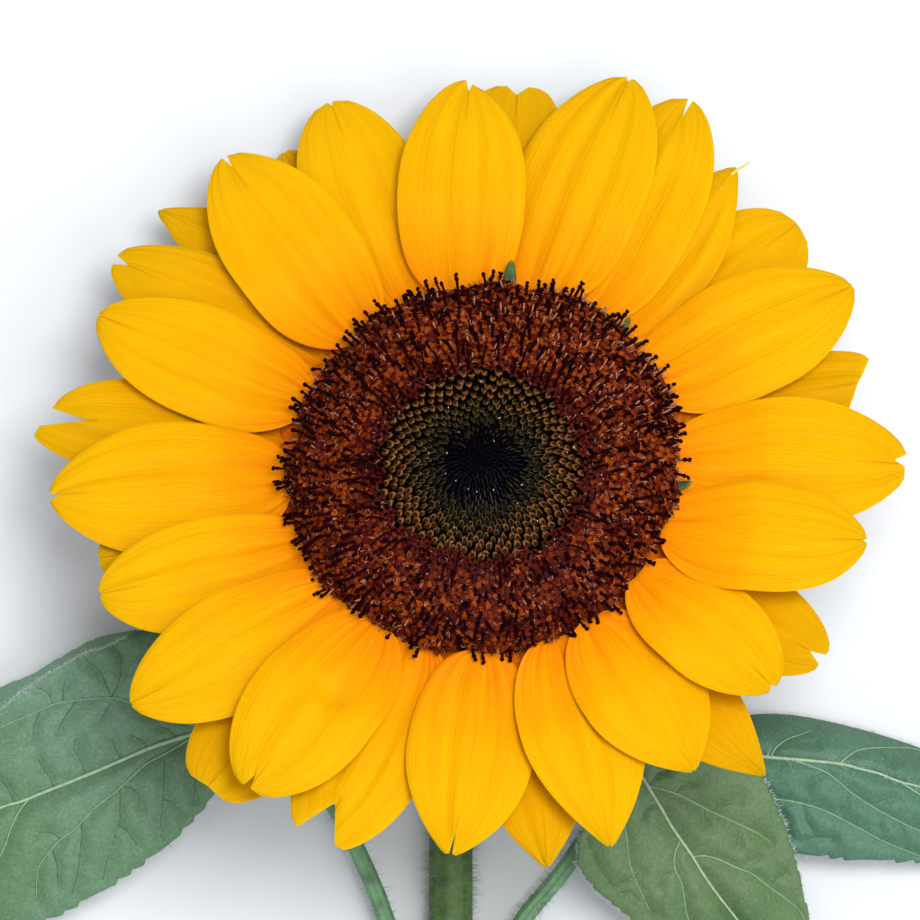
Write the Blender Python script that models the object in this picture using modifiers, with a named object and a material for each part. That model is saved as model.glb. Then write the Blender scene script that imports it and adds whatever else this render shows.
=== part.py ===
# Sunflower cut with a short stem and three leaves, lying face up on its back.
# Sizes are in metres, angles in radians, +Z is up and the stem runs towards -Y.

import math

import bmesh
import bpy
import numpy as np
from mathutils import Vector

MM = 0.001

# Pose of the flower head: the face looks up and leans towards +Y.
FACE_TILT = math.radians(22.0)
HEAD_PLACE = Vector((9.6, 26.8, 41.2)) * MM
FACE_AXIS = Vector((0.0, math.sin(FACE_TILT), math.cos(FACE_TILT)))
SEAT_GAP = 0.3 * MM

# Disc of florets: a shallow dish of buds inside a raised ring of open florets.
DISC_BASE_RADIUS = 39.0 * MM
DISC_TOP_RADIUS = 42.0 * MM
DISC_RIM_HEIGHT = 8.4 * MM
RING_CREST_RADIUS = 33.0 * MM
RING_CREST_HEIGHT = 9.2 * MM
BUD_ZONE_RADIUS = 20.0 * MM
BUD_ZONE_HEIGHT = 8.0 * MM
DISC_CENTRE_HEIGHT = 6.2 * MM
FLORET_PEAK = 1.4 * MM
DISC_CELLS_ROUND = 42
DISC_RINGS = 9

# Receptacle cup behind the disc, as radius and depth below the disc's underside.
CUP_PROFILE = [
    (0.0, SEAT_GAP),
    (DISC_BASE_RADIUS, SEAT_GAP),
    (DISC_BASE_RADIUS, 6.5 * MM),
    (36.0 * MM, 10.5 * MM),
    (27.0 * MM, 15.5 * MM),
    (14.0 * MM, 20.0 * MM),
    (6.6 * MM, 24.0 * MM),
    (0.0, 24.0 * MM),
]
CUP_DEPTH = CUP_PROFILE[-1][1]
CUP_SIDES = 36

# Bracts that start inside the cup and spread back under the ray florets.
BRACT_COUNT = 15
BRACT_WIDTH = 17.0 * MM
BRACT_TIP_WIDTH = 1.0 * MM
BRACT_HOLLOW = 1.0 * MM
BRACT_THICKNESS = 0.9 * MM
BRACT_START = (33.0 * MM, 9.0 * MM)
BRACT_TIP = (61.0 * MM, 19.7 * MM)
BRACT_ROW_STEP = 1.2 * MM

# Ray florets. The front row starts just under the disc, the back row lower down.
RIM_RADIUS = 39.6 * MM
FRONT_ROW_BASE = -1.3 * MM
FRONT_ROW_LIFT = 4.0 * MM
BACK_ROW_BASE = -4.8 * MM
BACK_ROW_LIFT = -1.0 * MM
PETAL_THICKNESS = 0.6 * MM
PETAL_ARCH = 1.2 * MM
PETAL_TIP_RISE = 0.5 * MM
PETAL_CLAW = 5.4 * MM
PETAL_GRID = {"front": (7, 9), "back": (5, 7)}

# Stem: from the back of the cup round a bend, then straight along the surface to the cut.
STEM_TOP_RADIUS = 5.6 * MM
STEM_RADIUS = 4.4 * MM
STEM_CUT_RADIUS = 4.7 * MM
STEM_ASIDE = -6.0 * MM
STEM_CUT_Y = HEAD_PLACE.y - 136.0 * MM
NECK_STRAIGHT = 1.0 * MM
NECK_BEND_RADIUS = 20.8 * MM
NECK_STEPS = 8
STEM_STEPS = 10

# Leaf stalks and blades.
PETIOLE_FOOT_RADIUS = 2.0 * MM
PETIOLE_END_RADIUS = 1.6 * MM
LEAF_THICKNESS = 1.0 * MM
LEAF_GRID = (9, 15)


def petal(name, row, base, tip, reach, width, lift, roll=0.0, widest=0.5, notch=1.0,
          lobes=1.3, uneven=0.0, point=0.3):
    """One ray floret: clock bearings of its base and tip and its roll in degrees, sizes in mm."""
    return dict(
        name=f"ray_floret_{row}_{name}",
        row=row,
        base=math.radians(base),
        tip=math.radians(tip),
        reach=reach * MM,
        width=width * MM,
        lift=lift * MM,
        roll=math.radians(roll),
        widest=widest,
        notch=notch * MM,
        lobes=lobes * MM,
        uneven=uneven * MM,
        point=point,
    )


PETALS = [
    petal("01", "front", 354, 358.5, 84.5, 26, 6.5, notch=2),
    petal("01", "back", 6, 5, 87.5, 23, -1, notch=2, lobes=4.5, point=0),
    petal("02", "front", 16, 19.5, 91.5, 27.5, 5, roll=-6, notch=1),
    petal("03", "front", 29, 27.5, 92.5, 27, 3.5, roll=-7, notch=5),
    petal("04", "front", 38, 37.5, 85.5, 21, 1.2, point=0.8),
    petal("02", "back", 47, 49, 85, 26, -1, point=0),
    petal("05", "front", 60, 62, 85, 26, 4.5, notch=0.7),
    petal("03", "back", 71, 71.5, 82, 20, -1, point=0.6),
    petal("06", "front", 86, 89.2, 84, 27, 5, roll=3, notch=1.5, lobes=2, point=0.4),
    petal("07", "front", 106, 101, 78, 24, 8, roll=-2.5),
    petal("04", "back", 117, 121, 78, 21, -1, notch=2.5, lobes=2),
    petal("08", "front", 125, 129.5, 74, 22, 7, roll=-6),
    petal("05", "back", 139, 138.5, 82, 18, -1, point=0.2),
    petal("09", "front", 145, 148.5, 76, 25, 6, roll=-6),
    petal("10", "front", 158, 162.5, 83, 24.5, 5, roll=-6, widest=0.45, point=0.8),
    petal("06", "back", 170, 171, 82, 22, -1.5, point=0.5),
    petal("11", "front", 180, 184, 80.5, 25, 4, roll=-3, notch=4, lobes=1, point=0.7),
    petal("12", "front", 199, 202.5, 82, 24.5, 2, notch=10, lobes=4.5, point=0.4),
    petal("13", "front", 213, 213.5, 81.5, 26, 8, roll=-2, notch=3, lobes=2.3),
    petal("07", "back", 220, 218.5, 84, 25, -1),
    petal("14", "front", 229, 234.3, 85, 22.5, 6.5, roll=-6),
    petal("15", "front", 246, 250.5, 80, 23, 5, roll=-6),
    petal("08", "back", 257, 257.5, 77.5, 20, -1),
    petal("16", "front", 268, 266.5, 86, 28, 3.5, roll=-4, notch=2, point=0.4),
    petal("09", "back", 281, 278, 88.5, 23, -1, notch=7, lobes=4, uneven=-2, point=0.4),
    petal("17", "front", 294, 294, 84.5, 24, 2.5),
    petal("10", "back", 308, 303, 88.5, 22, -1, notch=3, lobes=2),
    petal("11", "back", 317, 313, 88.5, 18, -4.2, roll=-7),
    petal("18", "front", 321, 323.5, 87, 26.5, 4, roll=-3, notch=2.5),
    petal("12", "back", 331, 331.5, 85, 15, -5, roll=-4),
    petal("19", "front", 339, 339.5, 88, 26, 1.6, point=0.1),
]


def smooth(x):
    x = min(max(x, 0.0), 1.0)
    return x * x * (3.0 - 2.0 * x)


def beside_head(x, y, z):
    """World position from mm beside and below the head's centre and mm above the surface."""
    return Vector((HEAD_PLACE.x + x * MM, HEAD_PLACE.y + y * MM, z * MM))


def material(name, colour, roughness):
    made = bpy.data.materials.new(name)
    made.use_nodes = True
    shader = made.node_tree.nodes["Principled BSDF"]
    shader.inputs["Base Color"].default_value = (*colour, 1.0)
    shader.inputs["Roughness"].default_value = roughness
    shader.inputs["Metallic"].default_value = 0.0
    return made


def new_collection(name):
    made = bpy.data.collections.new(name)
    bpy.context.scene.collection.children.link(made)
    return made


def add_object(name, data, collection, finish=None, parent=None):
    made = bpy.data.objects.new(name, data)
    collection.objects.link(made)
    made.parent = parent
    if finish and not data.materials:
        data.materials.append(finish)
    return made


def solidify(item, thickness):
    """Gives an open surface its thickness, half of it on each side."""
    shell = item.modifiers.new("thickness", "SOLIDIFY")
    shell.thickness = thickness
    shell.offset = 0.0


def sheet(name, points, columns):
    """Open surface through rows of points, each row with the same number of columns."""
    faces = []
    for a in range(len(points) - columns):
        if a % columns < columns - 1:
            faces.append((a, a + 1, a + columns + 1, a + columns))
    mesh = bpy.data.meshes.new(name)
    mesh.from_pydata([tuple(point) for point in points], [], faces)
    mesh.shade_smooth()
    return mesh


def disc_height(radius):
    if radius < BUD_ZONE_RADIUS:
        rise = (BUD_ZONE_HEIGHT - DISC_CENTRE_HEIGHT) * (radius / BUD_ZONE_RADIUS) ** 2
        return DISC_CENTRE_HEIGHT + rise
    if radius < RING_CREST_RADIUS:
        share = (radius - BUD_ZONE_RADIUS) / (RING_CREST_RADIUS - BUD_ZONE_RADIUS)
        return BUD_ZONE_HEIGHT + (RING_CREST_HEIGHT - BUD_ZONE_HEIGHT) * smooth(share)
    share = (radius - RING_CREST_RADIUS) / (DISC_TOP_RADIUS - RING_CREST_RADIUS)
    return RING_CREST_HEIGHT + (DISC_RIM_HEIGHT - RING_CREST_HEIGHT) * smooth(share)


def build_disc(collection, head, finish):
    """The florets as one body: a turned dish whose top is cut into cells with raised peaks."""
    profile = [(0.0, DISC_CENTRE_HEIGHT)]
    for i in range(1, DISC_RINGS + 1):
        radius = DISC_TOP_RADIUS * i / DISC_RINGS
        profile.append((radius, disc_height(radius)))
    profile += [(DISC_BASE_RADIUS, 0.0), (0.0, 0.0)]
    turned = bmesh.new()
    corners = [turned.verts.new((radius, 0.0, height)) for radius, height in profile]
    line = [turned.edges.new(pair) for pair in zip(corners, corners[1:])]
    bmesh.ops.spin(
        turned,
        geom=corners + line,
        cent=(0.0, 0.0, 0.0),
        axis=(0.0, 0.0, 1.0),
        angle=2.0 * math.pi,
        steps=DISC_CELLS_ROUND,
    )
    bmesh.ops.remove_doubles(turned, verts=turned.verts, dist=0.01 * MM)
    bmesh.ops.recalc_face_normals(turned, faces=turned.faces)
    cells = [face for face in turned.faces if face.normal.z > 0.5 and len(face.verts) == 4]
    bmesh.ops.poke(turned, faces=cells, offset=FLORET_PEAK)
    mesh = bpy.data.meshes.new("disc_florets")
    turned.to_mesh(mesh)
    turned.free()
    add_object("disc_florets", mesh, collection, finish, head)


def bract_mesh(lower_by):
    """Pointed blade reaching along +Y, hollow along its middle and bent back at the tip."""
    columns = 5
    rows = 7
    points = []
    for i in range(rows):
        t = i / (rows - 1)
        radius = BRACT_START[0] + (BRACT_TIP[0] - BRACT_START[0]) * t
        depth = BRACT_START[1] + (BRACT_TIP[1] - BRACT_START[1]) * t ** 1.6
        oval = max(math.sin(math.pi * (0.16 + 0.84 * t)), 0.0) ** 0.8
        half = max(BRACT_WIDTH * oval, BRACT_TIP_WIDTH) / 2
        for j in range(columns):
            s = -1.0 + 2.0 * j / (columns - 1)
            raised = BRACT_HOLLOW * s * s * math.sin(math.pi * t)
            points.append((half * s, radius, raised - depth - lower_by * (1 - t)))
    return sheet("bract", points, columns)


def build_involucre(collection, head, finish):
    """Receptacle cup turned about the face's axis, with two rows of bracts joined to it."""
    mesh = bpy.data.meshes.new("involucre")
    line = [(i, i + 1) for i in range(len(CUP_PROFILE) - 1)]
    mesh.from_pydata([(radius, 0.0, -depth) for radius, depth in CUP_PROFILE], line, [])
    cup = add_object("involucre", mesh, collection, finish, head)
    turn = cup.modifiers.new("turn", "SCREW")
    turn.steps = CUP_SIDES
    turn.render_steps = CUP_SIDES
    turn.use_merge_vertices = True
    turn.merge_threshold = 0.01 * MM
    bracts = new_collection("bracts joined to the cup")
    rows = [bract_mesh(0.0), bract_mesh(BRACT_ROW_STEP)]
    for number in range(BRACT_COUNT):
        bract = add_object(f"bract {number}", rows[number % 2], bracts, finish, head)
        bract.rotation_euler.z = -2.0 * math.pi * (number + 0.5) / BRACT_COUNT
        bract.hide_render = True
        bract.display_type = "WIRE"
        solidify(bract, BRACT_THICKNESS)
    join = cup.modifiers.new("join bracts", "BOOLEAN")
    join.operation = "UNION"
    join.operand_type = "COLLECTION"
    join.collection = bracts
    join.solver = "EXACT"


def petal_half_width(p, t):
    """Half width at t along the petal: a short claw, a long oval, then the tip's lobes."""
    top = p["width"] / 2
    claw = PETAL_CLAW / 2
    if t < p["widest"]:
        return claw + (top - claw) * (1.0 - (1.0 - t / p["widest"]) ** 2.3) ** 0.58
    far = (t - p["widest"]) / (1.0 - p["widest"])
    left = max(1.0 - far ** (2.5 - 0.8 * p["point"]), 0.0)
    return p["lobes"] + (top - p["lobes"]) * left ** (0.58 + 0.42 * p["point"])


def petal_height(p, t, beside):
    """Height over the receptacle at t along the petal and a distance beside its midline."""
    base = BACK_ROW_BASE + 0.3 * (p["lift"] - BACK_ROW_LIFT)
    if p["row"] == "front":
        base = FRONT_ROW_BASE + 0.25 * (p["lift"] - FRONT_ROW_LIFT)
    rise = (p["lift"] - base) * smooth(t / 0.5)
    tip = PETAL_TIP_RISE * smooth((t - 0.45) / 0.55)
    return base + rise + tip - beside * math.sin(p["roll"])


def petal_point(p, t, s):
    """Middle surface of a petal, t along it and s across it from -1 to 1."""
    out = np.array([math.sin(p["base"]), math.cos(p["base"])])
    start = out * RIM_RADIUS
    end = np.array([math.sin(p["tip"]), math.cos(p["tip"])]) * p["reach"]
    length = float(np.linalg.norm(end - start))
    bend = start + (out + (end - start) / length) * length * 0.25
    centre = (1 - t) ** 2 * start + 2 * t * (1 - t) * bend + t * t * end
    along = 2 * (1 - t) * (bend - start) + 2 * t * (end - bend)
    along /= np.linalg.norm(along)
    right = np.array([along[1], -along[0]])
    beside = petal_half_width(p, t) * s
    near_tip = smooth((t - 0.75) / 0.25)
    pulled_back = (p["notch"] * max(1.0 - abs(s) / 0.5, 0.0) - p["uneven"] * s) * near_tip
    plan = centre + right * beside - along * pulled_back
    arch = PETAL_ARCH * smooth(t / 0.35) * (1.0 - 0.5 * smooth((t - 0.8) / 0.2))
    return (plan[0], plan[1], petal_height(p, t, beside) - arch * s * s)


def build_petal(p, collection, head, finish):
    columns, rows = PETAL_GRID[p["row"]]
    points = []
    for i in range(rows):
        t = (i / (rows - 1)) ** 1.15
        points += [petal_point(p, t, -1.0 + 2.0 * j / (columns - 1)) for j in range(columns)]
    item = add_object(p["name"], sheet(p["name"], points, columns), collection, finish, head)
    solidify(item, PETAL_THICKNESS)


def build_tube(name, path, radii, collection, finish, roundness):
    """Round tapered body along a path of points, with flat filled ends."""
    curve = bpy.data.curves.new(name, "CURVE")
    curve.dimensions = "3D"
    curve.bevel_depth = 1.0
    curve.bevel_resolution = roundness
    curve.use_fill_caps = True
    line = curve.splines.new("POLY")
    line.points.add(len(path) - 1)
    for point, place, radius in zip(line.points, path, radii):
        point.co = (*place, 1.0)
        point.radius = radius
    add_object(name, curve, collection, finish)


def build_stem(collection, finish):
    """Neck bending from the back of the head into the straight run on the surface."""
    start = HEAD_PLACE - FACE_AXIS * (CUP_DEPTH + SEAT_GAP)
    path = [start]
    start = start - FACE_AXIS * NECK_STRAIGHT
    turn = math.pi / 2 - FACE_TILT
    for i in range(NECK_STEPS + 1):
        left = turn * (1 - i / NECK_STEPS)
        back = NECK_BEND_RADIUS * (math.sin(turn) - math.sin(left))
        drop = NECK_BEND_RADIUS * (math.cos(left) - math.cos(turn))
        path.append(start + Vector((0.0, -back, -drop)))
    share = [smooth(i / NECK_STEPS) for i in range(len(path))]
    radii = [STEM_TOP_RADIUS + (STEM_RADIUS - STEM_TOP_RADIUS) * s for s in share]
    bend = path[-1].copy()
    for i in range(1, STEM_STEPS + 1):
        t = i / STEM_STEPS
        aside = STEM_ASIDE * smooth(t / 0.45)
        path.append(bend + Vector((aside, (STEM_CUT_Y - bend.y) * t, 0.0)))
        radii.append(STEM_RADIUS + (STEM_CUT_RADIUS - STEM_RADIUS) * t)
    build_tube("stem", path, radii, collection, finish, roundness=4)


def through(places, steps):
    """Smooth path through a few places."""
    ends = [places[0] * 2 - places[1]] + places + [places[-1] * 2 - places[-2]]
    path = []
    for a, b, c, d in zip(ends, ends[1:], ends[2:], ends[3:]):
        for k in range(steps):
            t = k / steps
            slope = (c - a) * t
            bow = (a * 2 - b * 5 + c * 4 - d) * t * t
            turn = (b * 3 - a - c * 3 + d) * t ** 3
            path.append((b * 2 + slope + bow + turn) / 2)
    return path + [places[-1]]


def build_petiole(name, places, collection, finish):
    """Leaf stalk: straight for its first and last step, smooth between."""
    places = [beside_head(*place) for place in places]
    path = places[:1] + through(places[1:-1], 3) + places[-1:]
    last = len(path) - 1
    taper = PETIOLE_END_RADIUS - PETIOLE_FOOT_RADIUS
    radii = [PETIOLE_FOOT_RADIUS + taper * i / last for i in range(last + 1)]
    build_tube(name, path, radii, collection, finish, roundness=2)


def leaf_share(t, widest, shoulder):
    """Share of a side's greatest width at t; a low shoulder value fills out the base."""
    if t < widest:
        return 0.07 + 0.93 * (1.0 - (1.0 - t / widest) ** 2.1) ** shoulder
    far = (t - widest) / (1.0 - widest)
    return 0.03 + 0.97 * (1.0 - far ** 2.0)


def build_leaf(name, midrib, widest, left, right, collection, finish):
    """Blade along a cubic midrib; left and right hold width, arch, drop and shoulder."""
    a, b, c, d = [beside_head(*place) for place in midrib]
    columns, rows = LEAF_GRID
    points = []
    for i in range(rows):
        t = (i / (rows - 1)) ** 1.2
        centre = a * (1 - t) ** 3 + b * 3 * t * (1 - t) ** 2 + c * 3 * t * t * (1 - t) + d * t ** 3
        ahead = (b - a) * (1 - t) ** 2 + (c - b) * 2 * t * (1 - t) + (d - c) * t * t
        aside = Vector((ahead.y, -ahead.x, 0.0)).normalized()
        for j in range(columns):
            s = -1.0 + 2.0 * j / (columns - 1)
            width, arch, drop, shoulder = right if s > 0 else left
            share = leaf_share(t, widest, shoulder) * MM
            height = 4 * arch * abs(s) * (1 - abs(s)) - drop * s * s
            points.append(centre + aside * width * share * s + Vector((0, 0, height * share)))
    item = add_object(name, sheet(name, points, columns), collection, finish)
    solidify(item, LEAF_THICKNESS)


for item in list(bpy.data.objects):
    bpy.data.objects.remove(item, do_unlink=True)
plant = new_collection("sunflower")
head = add_object("head", None, plant)
head.location = HEAD_PLACE
head.rotation_euler.x = -FACE_TILT

floret_brown = material("disc florets", (0.115, 0.032, 0.012), 0.7)
petal_gold = material("front ray florets", (0.96, 0.46, 0.005), 0.5)
petal_shade = material("back ray florets", (0.78, 0.42, 0.006), 0.5)
bract_green = material("involucre", (0.10, 0.17, 0.055), 0.6)
stem_green = material("stem", (0.12, 0.20, 0.09), 0.6)
leaf_green = material("leaves", (0.11, 0.21, 0.12), 0.6)

build_disc(plant, head, floret_brown)
build_involucre(plant, head, bract_green)
for one in PETALS:
    build_petal(one, plant, head, petal_gold if one["row"] == "front" else petal_shade)
build_stem(plant, stem_green)

build_petiole("petiole_left", [
    (-11.0, -118.5, 4.9),
    (-12.4, -118.5, 4.9),
    (-15.8, -112.5, 5.2),
    (-19.4, -91.0, 6.0),
    (-29.7, -68.0, 8.0),
    (-39.0, -56.0, 10.5),
    (-46.1, -52.3, 11.6),
    (-48.06, -52.65, 11.94),
], plant, stem_green)
build_leaf("leaf_left", [
    (-48.4, -52.7, 12.0),
    (-75.0, -57.0, 17.0),
    (-115.0, -69.0, 14.0),
    (-150.0, -82.0, 0.9),
], 0.5, (25.0, 2.0, 3.0, 0.95), (25.5, 0.0, 4.0, 0.25), plant, leaf_green)

build_petiole("petiole_right_front", [
    (-1.0, -105.5, 4.9),
    (0.4, -105.5, 4.9),
    (4.0, -101.0, 5.2),
    (8.6, -91.0, 7.0),
    (17.8, -79.4, 9.0),
    (27.0, -64.0, 12.5),
    (29.6, -59.3, 17.6),
    (29.6, -59.3, 19.75),
], plant, stem_green)
build_leaf("leaf_right_front", [
    (28.4, -58.3, 20.5),
    (36.0, -64.5, 22.0),
    (50.0, -88.0, 18.0),
    (71.0, -118.0, 0.9),
], 0.33, (21.0, 0.0, 2.5, 0.95), (19.0, 0.0, 1.5, 0.95), plant, leaf_green)

build_petiole("petiole_right_back", [
    (-0.6, -68.5, 4.9),
    (0.9, -68.5, 4.9),
    (5.0, -65.0, 5.0),
    (20.0, -57.0, 6.0),
    (40.4, -54.25, 7.9),
    (42.4, -54.5, 8.75),
], plant, stem_green)
build_leaf("leaf_right_back", [
    (43.0, -54.6, 9.0),
    (60.0, -57.0, 16.0),
    (95.0, -62.0, 15.0),
    (131.0, -77.0, 0.9),
], 0.35, (9.0, 0.0, 12.0, 0.95), (18.5, 0.0, 4.0, 0.95), plant, leaf_green)
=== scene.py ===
import math

import bpy
import numpy as np
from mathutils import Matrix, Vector


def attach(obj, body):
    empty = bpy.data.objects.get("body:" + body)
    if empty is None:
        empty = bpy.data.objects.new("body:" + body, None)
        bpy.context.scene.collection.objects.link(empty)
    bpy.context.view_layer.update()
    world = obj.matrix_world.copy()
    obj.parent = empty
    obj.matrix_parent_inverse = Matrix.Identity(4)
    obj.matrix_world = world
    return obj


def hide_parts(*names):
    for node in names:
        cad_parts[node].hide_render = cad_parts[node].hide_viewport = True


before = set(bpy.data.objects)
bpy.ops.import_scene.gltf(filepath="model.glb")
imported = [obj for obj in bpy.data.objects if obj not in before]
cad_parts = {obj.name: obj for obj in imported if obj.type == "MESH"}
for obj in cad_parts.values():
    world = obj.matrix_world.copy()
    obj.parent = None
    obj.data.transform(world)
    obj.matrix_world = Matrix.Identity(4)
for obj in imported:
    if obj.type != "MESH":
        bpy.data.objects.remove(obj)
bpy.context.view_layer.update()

MM = 0.001
rng = np.random.default_rng(7)

# The flower head's place and lean, as in the part's source, in millimetres.
FACE_TILT = math.radians(22.0)
HEAD = np.array([9.6, 26.8, 41.2])
SIDE_AXIS = np.array([1.0, 0.0, 0.0])
UP_AXIS = np.array([0.0, math.cos(FACE_TILT), -math.sin(FACE_TILT)])
FACE_AXIS = np.array([0.0, math.sin(FACE_TILT), math.cos(FACE_TILT)])
HEAD_FRAME = np.array([SIDE_AXIS, UP_AXIS, FACE_AXIS])

# Disc of florets.
DISC_RADIUS = 39.4
RING_CREST_RADIUS = 33.0
RING_CREST_HEIGHT = 9.2
DISC_RIM_HEIGHT = 8.4
BUD_ZONE_RADIUS = 20.0
BUD_ZONE_HEIGHT = 8.0
DISC_CENTRE_HEIGHT = 6.2
SPIKE_ZONE_RADIUS = 8.5
GOLDEN_ANGLE = math.pi * (3.0 - math.sqrt(5.0))
# Rows of florets down the disc's side: radius, height and lean in degrees of each.
EDGE_ROWS = ((39.9, 6.9, 66.0), (40.2, 5.2, 78.0), (40.0, 3.6, 88.0))
EDGE_ROW_FLORETS = 118
# How far the disc's edge stands out or in at each 30 degrees of the clock, in millimetres.
DISC_EDGE = [-1.2, 0.9, 0.2, -1.5, -3.2, -2.8, -2.4, -2.1, -1.7, -2.6, -3.0, -2.0]

# Ray florets.
RIM_RADIUS = 37.8
FRONT_ROW_BASE = -1.3
FRONT_ROW_LIFT = 4.0
BACK_ROW_BASE = -4.8
BACK_ROW_LIFT = -1.0
PETAL_ARCH = 1.2
PETAL_TIP_RISE = 0.5
PETAL_CLAW = 5.4
PETAL_SHOULDER = 4.0
PETAL_SHOULDER_REACH = 17.0
PETAL_THICKNESS = 0.4
PETAL_ROWS = 52
PETAL_COLUMNS = 29

# Cup, stem and stalks.
CUP_DEPTH = 24.0
SEAT_GAP = 0.3
BRACTS = 30
NECK_STRAIGHT = 1.0
NECK_BEND_RADIUS = 20.8
STEM_TOP_RADIUS = 5.6
STEM_RADIUS = 4.4
STEM_CUT_RADIUS = 4.7
STEM_ASIDE = -6.0
STEM_CUT_Y = HEAD[1] - 136.0
PETIOLE_FOOT_RADIUS = 2.0
PETIOLE_END_RADIUS = 1.6
LEAF_THICKNESS = 0.5
LEAF_PUFF = 1.9
CREST_RISE = 1.3
CREST_FALL = 0.55
# Bract tips that show at the disc's edge: clock bearing in degrees, radius, height, half width.
BRACT_TIPS = ((7.9, 44.0, 7.4, 1.4), (43.0, 43.0, 7.0, 1.0), (94.4, 41.0, 6.4, 1.15))

# The camera hangs over the surface and looks straight down at the face.
CAMERA_HEIGHT = 1200.0
CAMERA_ASIDE = (-4.2, 3.8)
FRAME_WIDTH = 184.0
SENSOR = 36.0

# Floor and lights in metres and watts: each light's name, place, size and power.
FLOOR_WIDTH = 3.2
LIGHTS = (
    ("key light", (0.24, 0.28, 1.2), 0.5, 14.0),
    ("fill light", (0.6, -0.5, 1.0), 0.9, 5.0),
)

# Hairs: their numbers, and how far they stay clear of the surface in millimetres.
STEM_HAIRS = 6200
PETIOLE_HAIRS = 1800
DOWN_HAIRS = 2600
HAIR_CLEARANCE = 0.15


def smooth(x):
    x = np.clip(x, 0.0, 1.0)
    return x * x * (3.0 - 2.0 * x)


def unit(vectors):
    return vectors / np.maximum(np.linalg.norm(vectors, axis=-1, keepdims=True), 1e-9)


def circle(sides):
    return np.arange(sides) * 2.0 * math.pi / sides


def from_head(points):
    """World millimetres from head coordinates: u sideways, v up the face, w out of it."""
    return HEAD + points @ HEAD_FRAME


def clock(radius, turn, height):
    """Head coordinates at a distance from the centre and a clock bearing in radians."""
    parts = np.broadcast_arrays(radius * np.sin(turn), radius * np.cos(turn), height)
    return np.stack(parts, axis=-1)


def swung(local, turn):
    """Head coordinates turned clockwise about the face's axis."""
    c, d = math.cos(turn), math.sin(turn)
    return local @ np.array([[c, -d, 0], [d, c, 0], [0, 0, 1]])


def spread(ways, reach):
    """Offsets of every point of every path: each path's way times its own reaches."""
    return ways[:, None, :] * reach[:, :, None]


def add_piece(name, points, faces, finishes, slot, *nodes, tints=None, uv=None, border=None):
    """Piece from points in world millimetres; edges between border points are kept sharp."""
    mesh = bpy.data.meshes.new(name)
    sizes = np.concatenate([np.full(len(f), f.shape[1]) for f in faces])
    corners = np.concatenate([f.ravel() for f in faces]).astype(np.int32)
    mesh.vertices.add(len(points))
    mesh.vertices.foreach_set("co", (points * MM).astype(np.float32).ravel())
    mesh.loops.add(len(corners))
    mesh.loops.foreach_set("vertex_index", corners)
    mesh.polygons.add(len(sizes))
    starts = np.concatenate([[0], np.cumsum(sizes)[:-1]]).astype(np.int32)
    mesh.polygons.foreach_set("loop_start", starts)
    if tints is not None:
        mesh.polygons.foreach_set("material_index", tints.astype(np.int32))
    for finish in finishes:
        mesh.materials.append(finish)
    mesh.update(calc_edges=True)
    mesh.shade_smooth()
    if border is not None:
        ends = np.empty(len(mesh.edges) * 2, np.int32)
        mesh.edges.foreach_get("vertices", ends)
        sharp = border[ends.reshape(-1, 2)].all(axis=1)
        mesh.attributes.new("sharp_edge", "BOOLEAN", "EDGE").data.foreach_set("value", sharp)
    if uv is not None:
        layer = mesh.uv_layers.new(name="UVMap")
        layer.data.foreach_set("uv", uv[corners].astype(np.float32).ravel())
    piece = bpy.data.objects.new(name, mesh)
    bpy.context.scene.collection.objects.link(piece)
    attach(piece, "root")
    if nodes:
        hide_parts(*nodes)


def grid_quads(rows, columns, closed=False):
    """Quads of a grid of points; closed joins the last column to the first."""
    i, j = np.meshgrid(np.arange(rows - 1), np.arange(columns - (not closed)), indexing="ij")
    a = i * columns + j
    b = i * columns + (j + 1) % columns
    return np.stack([a, b, b + columns, a + columns], axis=-1).reshape(-1, 4)


def fan(start, sides, centre):
    """Triangles from a closed ring of points, by its first index, to one centre point."""
    k = np.arange(sides)
    return np.stack([start + k, start + (k + 1) % sides, np.full(sides, centre)], axis=-1)


def blade_grid(rows, columns, ease=0.0):
    """Shares t along and s across a blade; ease crowds the columns towards its edges."""
    x = np.linspace(-1.0, 1.0, columns)
    s = np.sin(x * math.pi / 2) * ease + x * (1.0 - ease)
    return np.meshgrid(np.linspace(0.0, 1.0, rows), s, indexing="ij")


def lens(points, thickness):
    """Closed thin body round a grid of points, with flags of its border and of the inner grid."""
    rows, columns = points.shape[:2]
    normal = unit(np.cross(np.gradient(points, axis=1), np.gradient(points, axis=0)))
    inner = np.zeros((rows, columns), bool)
    inner[1:-1, 1:-1] = True
    upper = np.where(inner[..., None], points + normal * thickness / 2, points)
    lower = (points - normal * thickness / 2)[inner]
    under = np.arange(rows * columns).reshape(rows, columns)
    under[inner] = rows * columns + np.arange(len(lower))
    quads = grid_quads(rows, columns)
    both = np.concatenate([upper.reshape(-1, 3), lower])
    border = np.concatenate([~inner.ravel(), np.zeros(len(lower), bool)])
    return both, np.concatenate([quads, under.ravel()[quads[:, ::-1]]]), border, inner


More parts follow.
